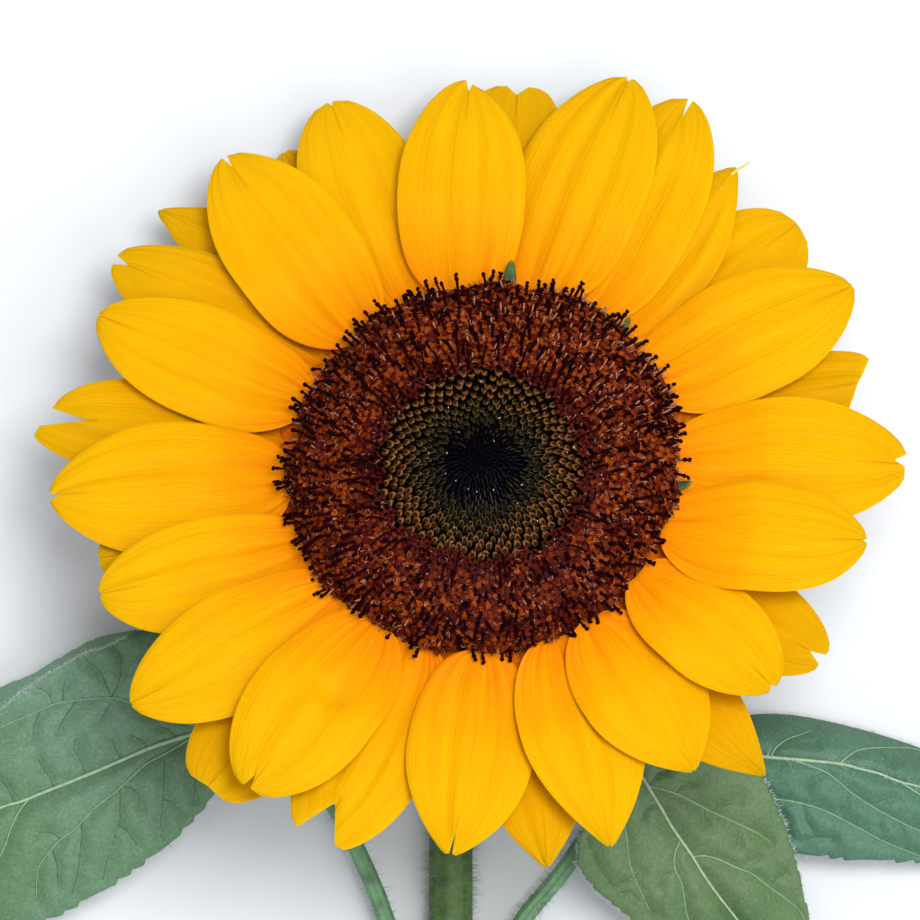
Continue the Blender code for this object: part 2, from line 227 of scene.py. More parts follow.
def tubes(paths, radii, sides):
    """Round tubes along many paths at once, closed to a point at both ends."""
    number, steps = paths.shape[:2]
    radii = np.broadcast_to(radii, (number, steps))
    along = unit(np.gradient(paths, axis=1))
    guide = unit(np.cross(along[:, :1], np.array([0.31, 0.52, 0.79]) + 0.0 * along[:, :1]))
    across = unit(guide - along * np.sum(guide * along, axis=-1, keepdims=True))
    other = np.cross(along, across)
    turn = circle(sides)[:, None]
    ring = across[:, :, None, :] * np.cos(turn) + other[:, :, None, :] * np.sin(turn)
    points = paths[:, :, None, :] + ring * radii[:, :, None, None]
    points = points.reshape(number, steps * sides, 3)
    points = np.concatenate([points, paths[:, :1], paths[:, -1:]], axis=1)
    size = steps * sides + 2
    ends = [fan(0, sides, size - 2)[:, ::-1], fan((steps - 1) * sides, sides, size - 1)]
    shift = np.arange(number)[:, None, None] * size
    quads = (grid_quads(steps, sides, closed=True)[None] + shift).reshape(-1, 4)
    return points.reshape(-1, 3), quads, (np.concatenate(ends)[None] + shift).reshape(-1, 3)


class Heap:
    """Many small shapes of one kind, gathered into one piece."""

    def __init__(self):
        self.points = []
        self.faces = {3: [], 4: []}
        self.tints = {3: [], 4: []}
        self.count = 0

    def add(self, points, faces, tints):
        self.points.append(points)
        for group, tint in zip(faces, tints):
            self.faces[group.shape[1]].append(group + self.count)
            self.tints[group.shape[1]].append(np.broadcast_to(tint, len(group)))
        self.count += len(points)

    def tubes(self, paths, radii, sides, tint=0):
        points, quads, tris = tubes(paths, radii, sides)
        self.add(points, [quads, tris], [tint, tint])

    def copies(self, shape, places, frames, sizes, tint_shift):
        """A shape of points, faces and tints, put at each place with its own axes and size."""
        points, faces, tints = shape
        moved = np.einsum("pk,nkj->npj", points, frames) * sizes[:, None, None]
        moved = (moved + places[:, None, :]).reshape(-1, 3)
        steps = np.arange(len(places))[:, None, None] * len(points)
        spread_faces = [(group[None] + steps).reshape(-1, group.shape[1]) for group in faces]
        shades = [(tint[None] + tint_shift[:, None]).ravel() for tint in tints]
        self.add(moved, spread_faces, shades)

    def gathered(self):
        """Points, faces and tints of all the shapes in the heap."""
        kept = [k for k in (3, 4) if self.faces[k]]
        faces = [np.concatenate(self.faces[k]) for k in kept]
        return np.concatenate(self.points), faces, [np.concatenate(self.tints[k]) for k in kept]

    def make(self, name, finishes, slot, *nodes):
        points, faces, tints = self.gathered()
        add_piece(name, points, faces, finishes, slot, *nodes, tints=np.concatenate(tints))


def hairs(name, slot, roots, directions, lengths, radius, bend, finish):
    """Fine hairs that taper and bend over, kept clear of the surface below."""
    steps = np.array([0.0, 0.55, 1.0])
    sag = rng.normal(0.0, 1.0, (len(roots), 3))
    reach = lengths[:, None] * steps
    paths = roots[:, None, :] + spread(directions, reach) + spread(sag, bend * reach * steps)
    keep = paths[:, :, 2].min(axis=1) > HAIR_CLEARANCE
    points, quads, tris = tubes(paths[keep], radius * np.array([1.0, 0.7, 0.15]), 3)
    add_piece(name, points, [quads, tris], [finish], slot)


class Finish:
    """A procedural material, its shader tree built one node at a time."""

    def __init__(self, name):
        self.material = bpy.data.materials.new(name)
        self.material.use_nodes = True
        self.tree = self.material.node_tree

    def fill(self, socket, value):
        if isinstance(value, bpy.types.NodeSocket):
            self.tree.links.new(value, socket)
        else:
            socket.default_value = value

    def node(self, kind, output, inputs, **settings):
        """Output of a new node, with its inputs linked or set by name or number."""
        node = self.tree.nodes.new("ShaderNode" + kind)
        for setting, value in settings.items():
            setattr(node, setting, value)
        for socket, value in inputs.items():
            self.fill(node.inputs[socket], value)
        return node.outputs[output]

    def noise(self, vector, scale, detail=2.0, roughness=0.5):
        inputs = dict(Vector=vector, Scale=scale, Detail=detail, Roughness=roughness)
        return self.node("TexNoise", "Fac", inputs)

    def ramp(self, value, *stops):
        """Colours at places along a value; a bare number stands for a grey."""
        colour = self.node("ValToRGB", "Color", dict(Fac=value))
        elements = colour.node.color_ramp.elements
        while len(elements) < len(stops):
            elements.new(0.5)
        for element, (place, tone) in zip(elements, stops):
            element.position = place
            element.color = (*(tone if isinstance(tone, tuple) else (tone,) * 3), 1.0)
        return colour

    def mix(self, first, second, share, blend="MIX"):
        """Mix of two colours; the node's colour sockets are its inputs 6 and 7 and output 2."""
        inputs = {0: share, 6: first, 7: second}
        return self.node("Mix", 2, inputs, data_type="RGBA", blend_type=blend)

    def tinted(self, colour, value, share, *stops):
        return self.mix(colour, self.ramp(value, *stops), share, "MULTIPLY")

    def relief(self, *layers):
        """Bumps of a height, a distance in millimetres and a strength, one on another."""
        below = {}
        for height, distance, strength in layers:
            inputs = dict(below, Height=height, Distance=distance * MM, Strength=strength)
            below = dict(Normal=self.node("Bump", "Normal", inputs))
        return below["Normal"]

    def done(self, colour, normal, roughness, specular, **more):
        """The material; more holds settings by their sockets' names, with _ for a space."""
        shader = self.tree.nodes["Principled BSDF"]
        more.update(Base_Color=colour, Normal=normal, Roughness=roughness)
        shader.inputs["Specular IOR Level"].default_value = specular
        for socket, value in more.items():
            self.fill(shader.inputs[socket.replace("_", " ")], value)
        return self.material


def petal_material(name, shade):
    """Golden blade, orange towards its base, with fine lengthwise veins and soft streaks; the streaks,
    the creases near the base and a line down the fold at the tip are darkened as painted shade.
    """
    finish = Finish(name)
    place = finish.node("UVMap", "UV", {})
    side, ahead = finish.node("SeparateXYZ", "X", dict(Vector=place)).node.outputs[:2]

    def stretched(across, along):
        return finish.node("Mapping", "Vector", dict(Vector=place, Scale=(across, along, 1.0)))

    tones = (
        (0.0, (0.76, 0.220, 0.0)), (0.16, (0.73, 0.265, 0.0)), (0.42, (0.69, 0.315, 0.0)),
        (0.75, (0.64, 0.340, 0.0)), (1.0, (0.56, 0.318, 0.0)),
    )
    # shade darkens every tone; below 1 the finish is a darker copy of the gold, painted shade.
    tones = [(at, tuple(c * shade for c in tone)) for at, tone in tones]
    wander = finish.noise(stretched(3.0, 2.0), 1.0)
    level = finish.node("Math", 0, {0: ahead, 1: -0.11}, operation="ADD")
    level = finish.node("Math", 0, {0: wander, 1: 0.22, 2: level}, operation="MULTIPLY_ADD")
    veins = finish.noise(stretched(34.0, 1.6), 1.0, 3.0, 0.6)
    streaks = finish.noise(stretched(9.0, 1.1), 1.0)
    creases = finish.noise(stretched(14.0, 0.6), 1.0, 2.0, 0.6)
    lines = finish.node("TexWave", "Fac", {
        "Vector": stretched(1.0, 0.25), "Scale": 10.5, "Distortion": 2.4, "Detail": 2.0,
        "Detail Scale": 1.6,
    })
    middle = finish.node("Math", 0, {0: side, 1: 0.5}, operation="PINGPONG")
    fold = finish.ramp(middle, (0.478, 0.0), (0.494, 1.0))
    near_base = finish.ramp(ahead, (0.05, 0.6), (0.36, 0.0))
    near_tip = finish.ramp(ahead, (0.80, 0.0), (0.97, 0.55))
    tip_line = finish.mix(fold, near_tip, 1.0, "MULTIPLY")
    colour = finish.ramp(level, *tones)
    # Creases near the base darken the colour: painted shade in the creases.
    colour = finish.tinted(colour, creases, near_base, (0.36, (0.84, 0.50, 0.4)), (0.56, 1.0))
    colour = finish.tinted(colour, lines, 0.5, (0.0, (0.95, 0.89, 0.84)), (0.5, 1.0))
    # A dark line down the middle fold near the tip: painted shade in the crease.
    colour = finish.mix(colour, (0.42, 0.11, 0.0, 1.0), tip_line)
    colour = finish.tinted(colour, veins, 0.4, (0.3, (0.93, 0.84, 0.8)), (0.62, 1.0))
    # The broad streaks darken the colour as well as bending the relief: painted shade of soft folds.
    colour = finish.tinted(colour, streaks, 0.9, (0.3, (0.97, 0.88, 0.85)), (0.6, 1.0))
    normal = finish.relief(
        (streaks, 0.8, 0.7), (creases, 0.30, 0.35), (lines, 0.05, 0.4), (veins, 0.10, 0.5)
    )
    return finish.done(
        colour, normal, 0.6, 0.03, Subsurface_Weight=0.35,
        Subsurface_Radius=(1.0, 0.45, 0.02), Subsurface_Scale=0.0018,
    )


def plain_material(name, colour, roughness, specular=0.4, grain=0.0, scale=900.0):
    """One base colour, broken up by a fine grain in its tone and relief."""
    finish = Finish(name)
    speckle = finish.noise(finish.node("TexCoord", "Object", {}), scale)
    low = tuple(c * (1.0 - grain) for c in colour)
    high = tuple(min(c * (1.0 + grain), 1.0) for c in colour)
    tone = finish.ramp(speckle, (0.3, low), (0.7, high))
    return finish.done(tone, finish.relief((speckle, 0.1, 0.4)), roughness, specular)


def banded(*parts):
    """A finish for each part in each of three bands, the parts of a band side by side."""
    return [
        plain_material(f"{part} {band}", colours[band], *settings)
        for band in range(3)
        for part, colours, *settings in parts
    ]


def leaf_material(name, low, high):
    """Grey green blade, downy and finely puckered between its small veins."""
    finish = Finish(name)
    place = finish.node("TexCoord", "Object", {})
    colour = finish.ramp(finish.noise(place, 30.0), (0.35, low), (0.65, high))
    down = finish.noise(place, 1700.0, 3.0, 0.7)
    # The down brightens the colour in fine speckles, up to half again: the pale hairs' own colour and
    # a painted sheen.
    lit = ((0.42, (0.86, 0.88, 0.86)), (0.75, (1.5, 1.45, 1.5)))
    colour = finish.tinted(colour, down, 0.6, *lit)
    moved = finish.mix(place, finish.noise(place, 160.0), 0.012)
    cells = dict(Vector=moved, Scale=420.0)
    cells = finish.node("TexVoronoi", "Distance", cells, feature="DISTANCE_TO_EDGE")
    net = finish.ramp(cells, (0.0, 0.0), (0.12, 1.0))
    darker = finish.mix(colour, (0.86, 0.92, 0.84, 1.0), 1.0, "MULTIPLY")
    normal = finish.relief((net, 0.12, 0.35), (down, 0.08, 0.6))
    return finish.done(finish.mix(darker, colour, net), normal, 0.58, 0.3)


def petal(number, row, base, tip, reach, width, lift, **shape):
    """One ray floret: clock bearings of its base and tip and its roll in degrees, sizes in mm."""
    plain = dict(
        roll=0.0, widest=0.5, notch=1.0, lobes=1.3, uneven=0.0, point=0.3, split=0.0,
        # lit petals take the gold finish, the others its darker copy, which is painted shade.
        slit=0.5, dent=0.0, lit=row == "front",
    )
    base, tip = math.radians(base), math.radians(tip)
    place = dict(name=f"{row}_{number}", row=row, base=base, tip=tip)
    return {**plain, **place, **shape, "reach": reach, "width": width, "lift": lift}


PETALS = [
    petal("01", "front", 354, 358.5, 84.5, 26, 6.5, notch=2, uneven=-0.6),
    petal("01", "back", 6, 5, 87.5, 23, -1, notch=2, lobes=4.5, point=0),
    petal("02", "front", 16, 19.5, 91.5, 27.5, 5, roll=-6, notch=1),
    petal("03", "front", 29, 27.5, 92.5, 27, 3.5, roll=-7, notch=5, split=0.2, slit=0.35),
    petal("04", "front", 38, 37.5, 85.5, 21, 1.2, point=0.85, notch=0.1, lobes=0.3),
    petal("02", "back", 47, 49, 85.5, 27, -1, point=0, notch=0.1, lit=True),
    petal("05", "front", 60, 62, 85, 26, 4.5, notch=0.2, lobes=0.8, point=0.35),
    petal("03", "back", 71, 74.6, 79, 20, -1, point=0.1, notch=0.3, lobes=5, uneven=-3),
    petal("06", "front", 86, 89.4, 84.5, 27, 5, roll=3, notch=2.2, lobes=2.9, point=0.4,
          split=-0.3, slit=0.45),
    petal("07", "front", 107.5, 102.2, 78, 24, 8, roll=-2.5, notch=0.7, lobes=0.9),
    petal("04", "back", 117, 119.5, 77.5, 21, -1, notch=3, lobes=2.4),
    petal("08", "front", 125, 129.5, 74, 22, 7, roll=-6, notch=0.8),
    petal("05", "back", 139, 138.3, 83.5, 19, -1, notch=0, lobes=0.3, point=0.9),
    petal("09", "front", 145, 147.1, 76.1, 25, 6, roll=-6, notch=0.3, lobes=0.4, point=0.75),
    petal("10", "front", 158, 162.5, 82.8, 24.5, 5, roll=-6, widest=0.45, notch=0.3, lobes=0.5,
          point=0.9),
    petal("06", "back", 170, 171, 82, 22, -1.5, point=0.9, notch=0.2, lobes=0.4),
    petal("11", "front", 180, 184.3, 80.5, 25, 4, roll=-3, notch=4.6, lobes=1.1, point=0.7, slit=0.28),
    petal("12", "front", 199, 202.6, 82.4, 25, 2, notch=7.6, lobes=5.4, point=0.4, slit=0.75,
          split=0.12),
    petal("13", "front", 213, 213.5, 81.7, 26, 8, roll=-2, notch=3.2, lobes=2.5, split=0.25,
          slit=0.28, dent=2.4),
    petal("07", "back", 220, 219.6, 84.2, 23, -1, notch=0.2, lobes=4.4, point=0.1, widest=0.6),
    petal("14", "front", 229, 233.8, 85, 24, 6.5, roll=-6, notch=0.2, lobes=0.7, point=0.4),
    petal("15", "front", 246, 250.5, 80, 23, 5, roll=-6, notch=0.4),
    petal("08", "back", 257, 257.5, 78, 22, -1, notch=0.3),
    petal("16", "front", 268, 266.5, 86, 28, 3.5, roll=-4, notch=2, point=0.4),
    petal("09", "back", 281, 278.9, 88.5, 23, -1, notch=8.4, lobes=4, uneven=-2, point=0.4),
    petal("17", "front", 294, 294, 84.5, 24, 2.5, notch=0.3, lobes=0.8),
    petal("10", "back", 308, 303, 88.5, 22, -1, notch=3, lobes=2),
    petal("11", "back", 324, 312.6, 89.5, 20, -4.2, roll=-7, notch=0.1, lobes=0.3, point=0.85),
    petal("18", "front", 321, 322.9, 86.4, 26.5, 4, roll=-3, notch=2.8, slit=0.4),
    petal("12", "back", 331, 331.5, 84.4, 16, -5, roll=-4, notch=0.2),
    petal("19", "front", 339, 339.5, 88, 26, 1.6, point=0.1),
]


def petal_half_width(p, t):
    """Half width at t along the petal: a short claw, a long oval, then the tip's lobes."""
    top = p["width"] / 2
    claw = PETAL_CLAW / 2
    near = np.clip(t / p["widest"], 0.0, 1.0)
    far = np.clip((t - p["widest"]) / (1.0 - p["widest"]), 0.0, 1.0)
    left = np.maximum(1.0 - far ** (2.5 - 0.8 * p["point"]), 0.0)
    growing = claw + (top - claw) * (1.0 - (1.0 - near) ** 2.3) ** 0.58
    closing = p["lobes"] + (top - p["lobes"]) * left ** (0.58 + 0.42 * p["point"])
    return np.where(t < p["widest"], growing, closing)


def petal_surface(p, t, s, relief):
    """Middle surface of a petal in head millimetres, for arrays of t along and s across."""
    out = np.array([math.sin(p["base"]), math.cos(p["base"])])
    start = out * RIM_RADIUS
    end = np.array([math.sin(p["tip"]), math.cos(p["tip"])]) * p["reach"]
    length = np.linalg.norm(end - start)
    bend = start + (out + (end - start) / length) * length * 0.25
    a = t[..., None]
    centre = (1 - a) ** 2 * start + 2 * a * (1 - a) * bend + a * a * end
    along = unit(2 * (1 - a) * (bend - start) + 2 * a * (end - bend))
    right = np.stack([along[..., 1], -along[..., 0]], axis=-1)
    beside = petal_half_width(p, t) * s
    notch = p["notch"] * np.maximum(1.0 - np.abs(s - p["split"]) / p["slit"], 0.0)
    pulled_back = (notch - p["uneven"] * s) * smooth((t - 0.75) / 0.25)
    plan = centre + right * beside[..., None] - along * pulled_back[..., None]
    base = BACK_ROW_BASE + 0.3 * (p["lift"] - BACK_ROW_LIFT)
    if p["row"] == "front":
        base = FRONT_ROW_BASE + 0.25 * (p["lift"] - FRONT_ROW_LIFT)
    height = base + (p["lift"] - base) * smooth(t / 0.5) + PETAL_TIP_RISE * smooth((t - 0.45) / 0.55)
    height = height - beside * math.sin(math.radians(p["roll"]))
    arch = PETAL_ARCH * smooth(t / 0.35) * (1.0 - 0.5 * smooth((t - 0.8) / 0.2))
    height = height - arch * s * s + petal_relief(t, s, relief)
    height = height - p["dent"] * np.exp(-(((t - 0.42) / 0.07) ** 2) - (((s + 0.1) / 0.3) ** 2))
    from_rim = np.linalg.norm(plan, axis=-1) - RIM_RADIUS
    height = height + PETAL_SHOULDER * (1.0 - smooth(from_rim / PETAL_SHOULDER_REACH))
    return np.concatenate([plan, height[..., None]], axis=-1)


def petal_relief(t, s, relief):
    """Folds that run from the base, a channel at the claw and a slight wave of the edges."""
    folds, waves, phase = relief
    total = 0.9 * (s * s - 0.35) * (1.0 - smooth(t / 0.22))
    for place, width, depth, end in folds:
        fade = smooth(t / 0.12) * (1.0 - smooth((t - end) / 0.35))
        total = total - depth * np.exp(-(((s - place) / width) ** 2)) * fade
    wave = np.sin(2 * math.pi * (waves * t + phase) + 1.4 * np.sign(s))
    return total + 0.25 * np.abs(s) ** 3 * wave * smooth((t - 0.15) / 0.3)


def petal_folds():
    """A deep fold on each side of the middle, a few faint ones, and the edges' waves."""
    folds = []
    for low, high in ((-0.40, -0.2), (0.2, 0.40)):
        folds.append((rng.uniform(low, high), 0.12, rng.uniform(0.5, 0.95), rng.uniform(0.5, 0.85)))
    for _ in range(5):
        spans = ((-0.85, 0.85), (0.04, 0.08), (0.05, 0.2), (0.3, 0.9))
        folds.append([rng.uniform(low, high) for low, high in spans])
    return folds, rng.uniform(1.2, 2.2), rng.uniform(0.0, 1.0)


def make_thread(gold):
    """Dry thread that trails from the tip of one petal."""
    p = next(one for one in PETALS if one["name"] == "front_04")
    tip = petal_surface(p, np.array([0.96, 1.0]), np.array([0.1, 0.1]), ([], 1.5, 0.0))
    steps = np.linspace(0.0, 1.0, 7)
    ahead = np.array([2.8, 0.9, 0.5])
    path = tip[0] + (tip[1] - tip[0]) * steps[:, None] + ahead * (steps ** 1.4)[:, None]
    points, quads, tris = tubes(from_head(path)[None], np.linspace(0.4, 0.12, 7), 6)
    add_piece("petal_thread", points, [quads, tris], [gold], "front ray florets")


def make_claws():
    """Deep orange petal bases, crowded into one frilled ring, that show between the petals; partly
    their own orange, partly painted shade of the gaps.
    """
    rows, columns = 9, 360
    t, a = np.meshgrid(np.linspace(0, 1, rows), circle(columns), indexing="ij")
    frill = np.abs(np.cos(15.5 * a + 0.8 * np.sin(3 * a))) ** 0.6
    reach = 33.0 + (8.6 + 1.6 * frill) * t + 0.4 * edge_shift(a, 40.0)
    rise = 0.9 - 1.4 * t + 0.35 * np.cos(31 * a + 1.6 * np.sin(3 * a)) * t
    upper = from_head(clock(reach, a, rise))
    shell = np.concatenate([upper, (upper - FACE_AXIS * 0.35)[::-1]]).reshape(-1, 3)
    quads = grid_quads(2 * rows, columns, closed=True)
    last = (2 * rows - 1) * columns
    k = np.arange(columns)
    after = (k + 1) % columns
    seam = np.stack([last + k, last + after, after, k], axis=-1)
    # Darker than the petals' own bases: painted shade in the gaps between the petals.
    finish = plain_material("petal bases", (0.62, 0.115, 0.0), 0.6, 0.05, 0.3, 700.0)
    add_piece("petal_bases", shell, [quads, seam], [finish], "back ray florets")


def make_petals(gold, shaded):
    t, s = blade_grid(PETAL_ROWS, PETAL_COLUMNS, 0.35)
    t = t ** 0.94
    for number, p in enumerate(PETALS):
        surface = from_head(petal_surface(p, t, s, petal_folds()))
        points, quads, border, inner = lens(surface, PETAL_THICKNESS)
        uv = np.stack([number + 0.5 + 0.48 * s, t], axis=-1)
        uv = np.concatenate([uv.reshape(-1, 2), uv[inner]])
        add_piece(
            "petal_" + p["name"], points, [quads], [gold if p["lit"] else shaded],
            f"{p['row']} ray florets", "ray_floret_" + p["name"], uv=uv, border=border,
        )


def disc_height(radius):
    inner = BUD_ZONE_HEIGHT - DISC_CENTRE_HEIGHT
    low = DISC_CENTRE_HEIGHT + inner * np.clip(radius / BUD_ZONE_RADIUS, 0, 1) ** 2
    share = smooth((radius - BUD_ZONE_RADIUS) / (RING_CREST_RADIUS - BUD_ZONE_RADIUS))
    fall = smooth((radius - RING_CREST_RADIUS) / (DISC_RADIUS - RING_CREST_RADIUS))
    return low + (RING_CREST_HEIGHT - BUD_ZONE_HEIGHT) * share - fall * (
        RING_CREST_HEIGHT - DISC_RIM_HEIGHT
    )


def edge_shift(turn, radius):
    """The disc's edge isn't a circle: how far a place near it moves out, in millimetres."""
    bearings = np.arange(len(DISC_EDGE) + 1) * 2 * math.pi / len(DISC_EDGE)
    shift = np.interp(turn % (2 * math.pi), bearings, DISC_EDGE + DISC_EDGE[:1])
    shift = shift + 0.5 * np.sin(11 * turn + 1.0) + 0.4 * np.sin(19 * turn)
    return shift * smooth((radius - 24.0) / 14.0)


def floret_room(radius):
    """Square millimetres of disc for each floret: smaller towards the centre."""
    return np.interp(radius, [0.0, 6.0, 10.0, 14.0, 19.0, 23.0], [0.8, 1.0, 1.5, 2.3, 2.9, 4.2])


def spiral():
    """Places of all florets in the sunflower's double spiral, from the centre outwards."""
    places = []
    radius = 0.4
    turn = 0.0
    while radius < DISC_RADIUS:
        places.append((radius, turn))
        radius = math.sqrt(radius ** 2 + floret_room(radius) / math.pi)
        turn += GOLDEN_ANGLE
    return np.array(places)


def leaning(turns, lean, spin):
    """Axes of shapes that lean outwards by an angle from the face's axis, and are spun."""
    out = np.stack([np.sin(turns), np.cos(turns), 0.0 * turns], axis=-1)
    side = np.stack([np.cos(turns), -np.sin(turns), 0.0 * turns], axis=-1)
    up = np.array([0.0, 0.0, 1.0])
    axis = up * np.cos(lean)[:, None] + out * np.sin(lean)[:, None]
    level = out * np.cos(lean)[:, None] - up * np.sin(lean)[:, None]
    first = side * np.cos(spin)[:, None] + level * np.sin(spin)[:, None]
    return np.stack([first, np.cross(axis, first), axis], axis=1)


def turned(rings, sides, point, tints):
    """Round shape through rings of radius and height, ended by a point; a tint for each band."""
    a = circle(sides)
    points = [np.stack([r * np.cos(a), r * np.sin(a), 0.0 * a + height], -1) for r, height in rings]
    points = np.concatenate(points + [np.array([[0.0, 0.0, point]])])
    quads = grid_quads(len(rings), sides, closed=True)
    tris = fan((len(rings) - 1) * sides, sides, len(points) - 1)
    return points, [quads, tris], [np.repeat(tints[:-1], sides), np.full(sides, tints[-1])]


def open_floret(lit):
    """Open corolla: a tube and five spreading lobes; the lit ones are painted light, each on a larger
    dark one that is painted shadow.
    """
    tube = [(0.40, -3.0), (0.60, -0.8), (0.56, 0.0), (0.32, -0.5)]
    lobe = [np.array([[0, 3, 4, 1], [1, 4, 5, 2]]), np.array([[3, 6, 4], [4, 6, 5]])]
    heap = Heap()
    heap.add(*turned(tube, 10, -1.2, [0, 0, 0, 0]))
    for k in range(5):
        turn = 2 * math.pi * k / 5
        out = np.array([math.cos(turn), math.sin(turn), 0.0])
        side = np.array([-math.sin(turn), math.cos(turn), 0.0])
        # Lit lobes: a brighter tint 1 over a larger dark tint 2, painted light and painted shadow;
        # other lobes take only tint 2.
        layers = ((2, 1.3, -0.13), (1, 1.0, 0.0)) if k in lit else ((2, 1.0, 0.1),)
        curl = rng.uniform(-0.35, 0.45)
        far = rng.uniform(1.6, 2.1)
        for tint, grow, drop in layers:
            outline = [
                (0.45, -0.34, 0.0), (0.45, 0.0, 0.02), (0.45, 0.34, 0.0), (1.05, -0.58, 0.1),
                (1.1, 0.0, 0.36), (1.05, 0.58, 0.1), (far + 0.14 * (grow > 1), 0.0, curl),
            ]
            shape = [out * r + side * w * grow + [0.0, 0.0, z + drop] for r, w, z in outline]
            heap.add(np.array(shape), lobe, [tint, tint])
    return heap.gathered()


def make_disc_base():
    """Body under the florets, near black as painted shade, that shows only in the gaps between them.
    """
    sides = 96
    radii = np.concatenate([np.linspace(0.01, DISC_RADIUS - 0.4, 38), [39.2, 39.2, 39.0, 38.0]])
    heights = disc_height(radii) - np.interp(radii, [0, 9, 20, 42], [0.6, 1.2, 1.9, 2.0])
    heights[-4:] = [5.5, 2.0, 0.0, -0.2]
    a = circle(sides)
    moved = radii[:, None] + edge_shift(a[None], radii[:, None])
    points = from_head(clock(moved, a, heights[:, None])).reshape(-1, 3)
    quads = grid_quads(len(radii), sides, closed=True)
    # Near black: painted shade in the gaps between the florets.
    dark = plain_material("floret gap shade", (0.002, 0.001, 0.0015), 0.8, 0.01, 0.3)
    add_piece("disc_base", points, [quads], [dark], "disc florets", "disc_florets")


def make_disc():
    """Open florets in a broad outer ring, closed buds inside it and dark spikes at the heart."""
    make_disc_base()
    radius, turn = spiral().T
    ragged = BUD_ZONE_RADIUS + 0.4 * np.sin(3 * turn + 1.0) + rng.normal(0, 0.3, len(radius))
    is_open = radius > ragged
    is_spike = radius < SPIKE_ZONE_RADIUS + rng.normal(0, 0.6, len(radius))
    is_bud = ~is_open & ~is_spike
    spot = clock(radius + edge_shift(turn, radius), turn, disc_height(radius))

    r, a, at = radius[is_open], turn[is_open], spot[is_open]
    lean = np.interp(r, [20, 26, 34, 37, 39.4], [2, 12, 22, 34, 52])
    count = EDGE_ROW_FLORETS
    for row, (rim, height, tip) in enumerate(EDGE_ROWS):
        around = (np.arange(count) + 0.5 * row) * 2 * math.pi / count + rng.normal(0, 0.01, count)
        at = np.concatenate([at, clock(rim + edge_shift(around, rim), around, height)])
        r = np.append(r, np.full(count, rim))
        a = np.append(a, around)
        lean = np.append(lean, np.full(count, tip))
    n = len(r)
    lean = np.radians(lean)
    tilted = lean + np.radians(rng.normal(0, 15, n))
    frames = leaning(a + rng.normal(0, 0.3, n), tilted, rng.uniform(0, 2 * math.pi, n))
    at[:, 2] += rng.normal(0.0, 0.4, n)
    young = smooth((25.5 - r) / 4.5)
    size = rng.uniform(0.88, 1.15, n) * (1.0 - 0.35 * young)
    # Tone rises towards the bottom of the disc, giving the lower florets darker bands: painted shade.
    # The rest is random tone and the darker young florets.
    tone = rng.random(n) + 1.1 * young - 0.12 - 0.22 * np.cos(a)
    tint = 3 * np.digitize(tone, [0.40, 0.82])
    heap = Heap()
    variant = rng.integers(0, 4, n)
    for k, lit in enumerate(((0, 1, 3, 4), (0, 2), (0, 1, 2, 3, 4), (2, 4, 0))):
        kind = variant == k
        axes = frames[kind] @ HEAD_FRAME
        heap.copies(open_floret(lit), from_head(at[kind]), axes, size[kind], tint[kind])
    tube = [(0.060, 0.006, 0.002), (0.045, 0.004, 0.002), (0.022, 0.0015, 0.0015)]
    # lobe holds the lit lobes' painted light; edge holds the dark lobes and the painted shadow round
    # the lit ones.
    lobe = [(0.200, 0.031, 0.001), (0.122, 0.0150, 0.001), (0.060, 0.0045, 0.001)]
    edge = [(0.070, 0.005, 0.002), (0.052, 0.004, 0.002), (0.030, 0.002, 0.002)]
    finishes = banded(
        ("corolla tube", tube, 0.6, 0.04, 0.35, 2500), ("corolla lobe", lobe, 0.5, 0.05, 0.4, 1800),
        ("corolla edge", edge, 0.5, 0.04, 0.3, 2500),
    )
    heap.make("disc_corollas", finishes, "disc florets", "disc_florets")

    make_columns(at, a, r, lean)
    make_filaments(at, frames, young)
    make_buds(spot[is_bud], turn[is_bud], radius[is_bud])
    make_spikes(radius[~is_open], turn[~is_open])
    make_specks(spot, radius)


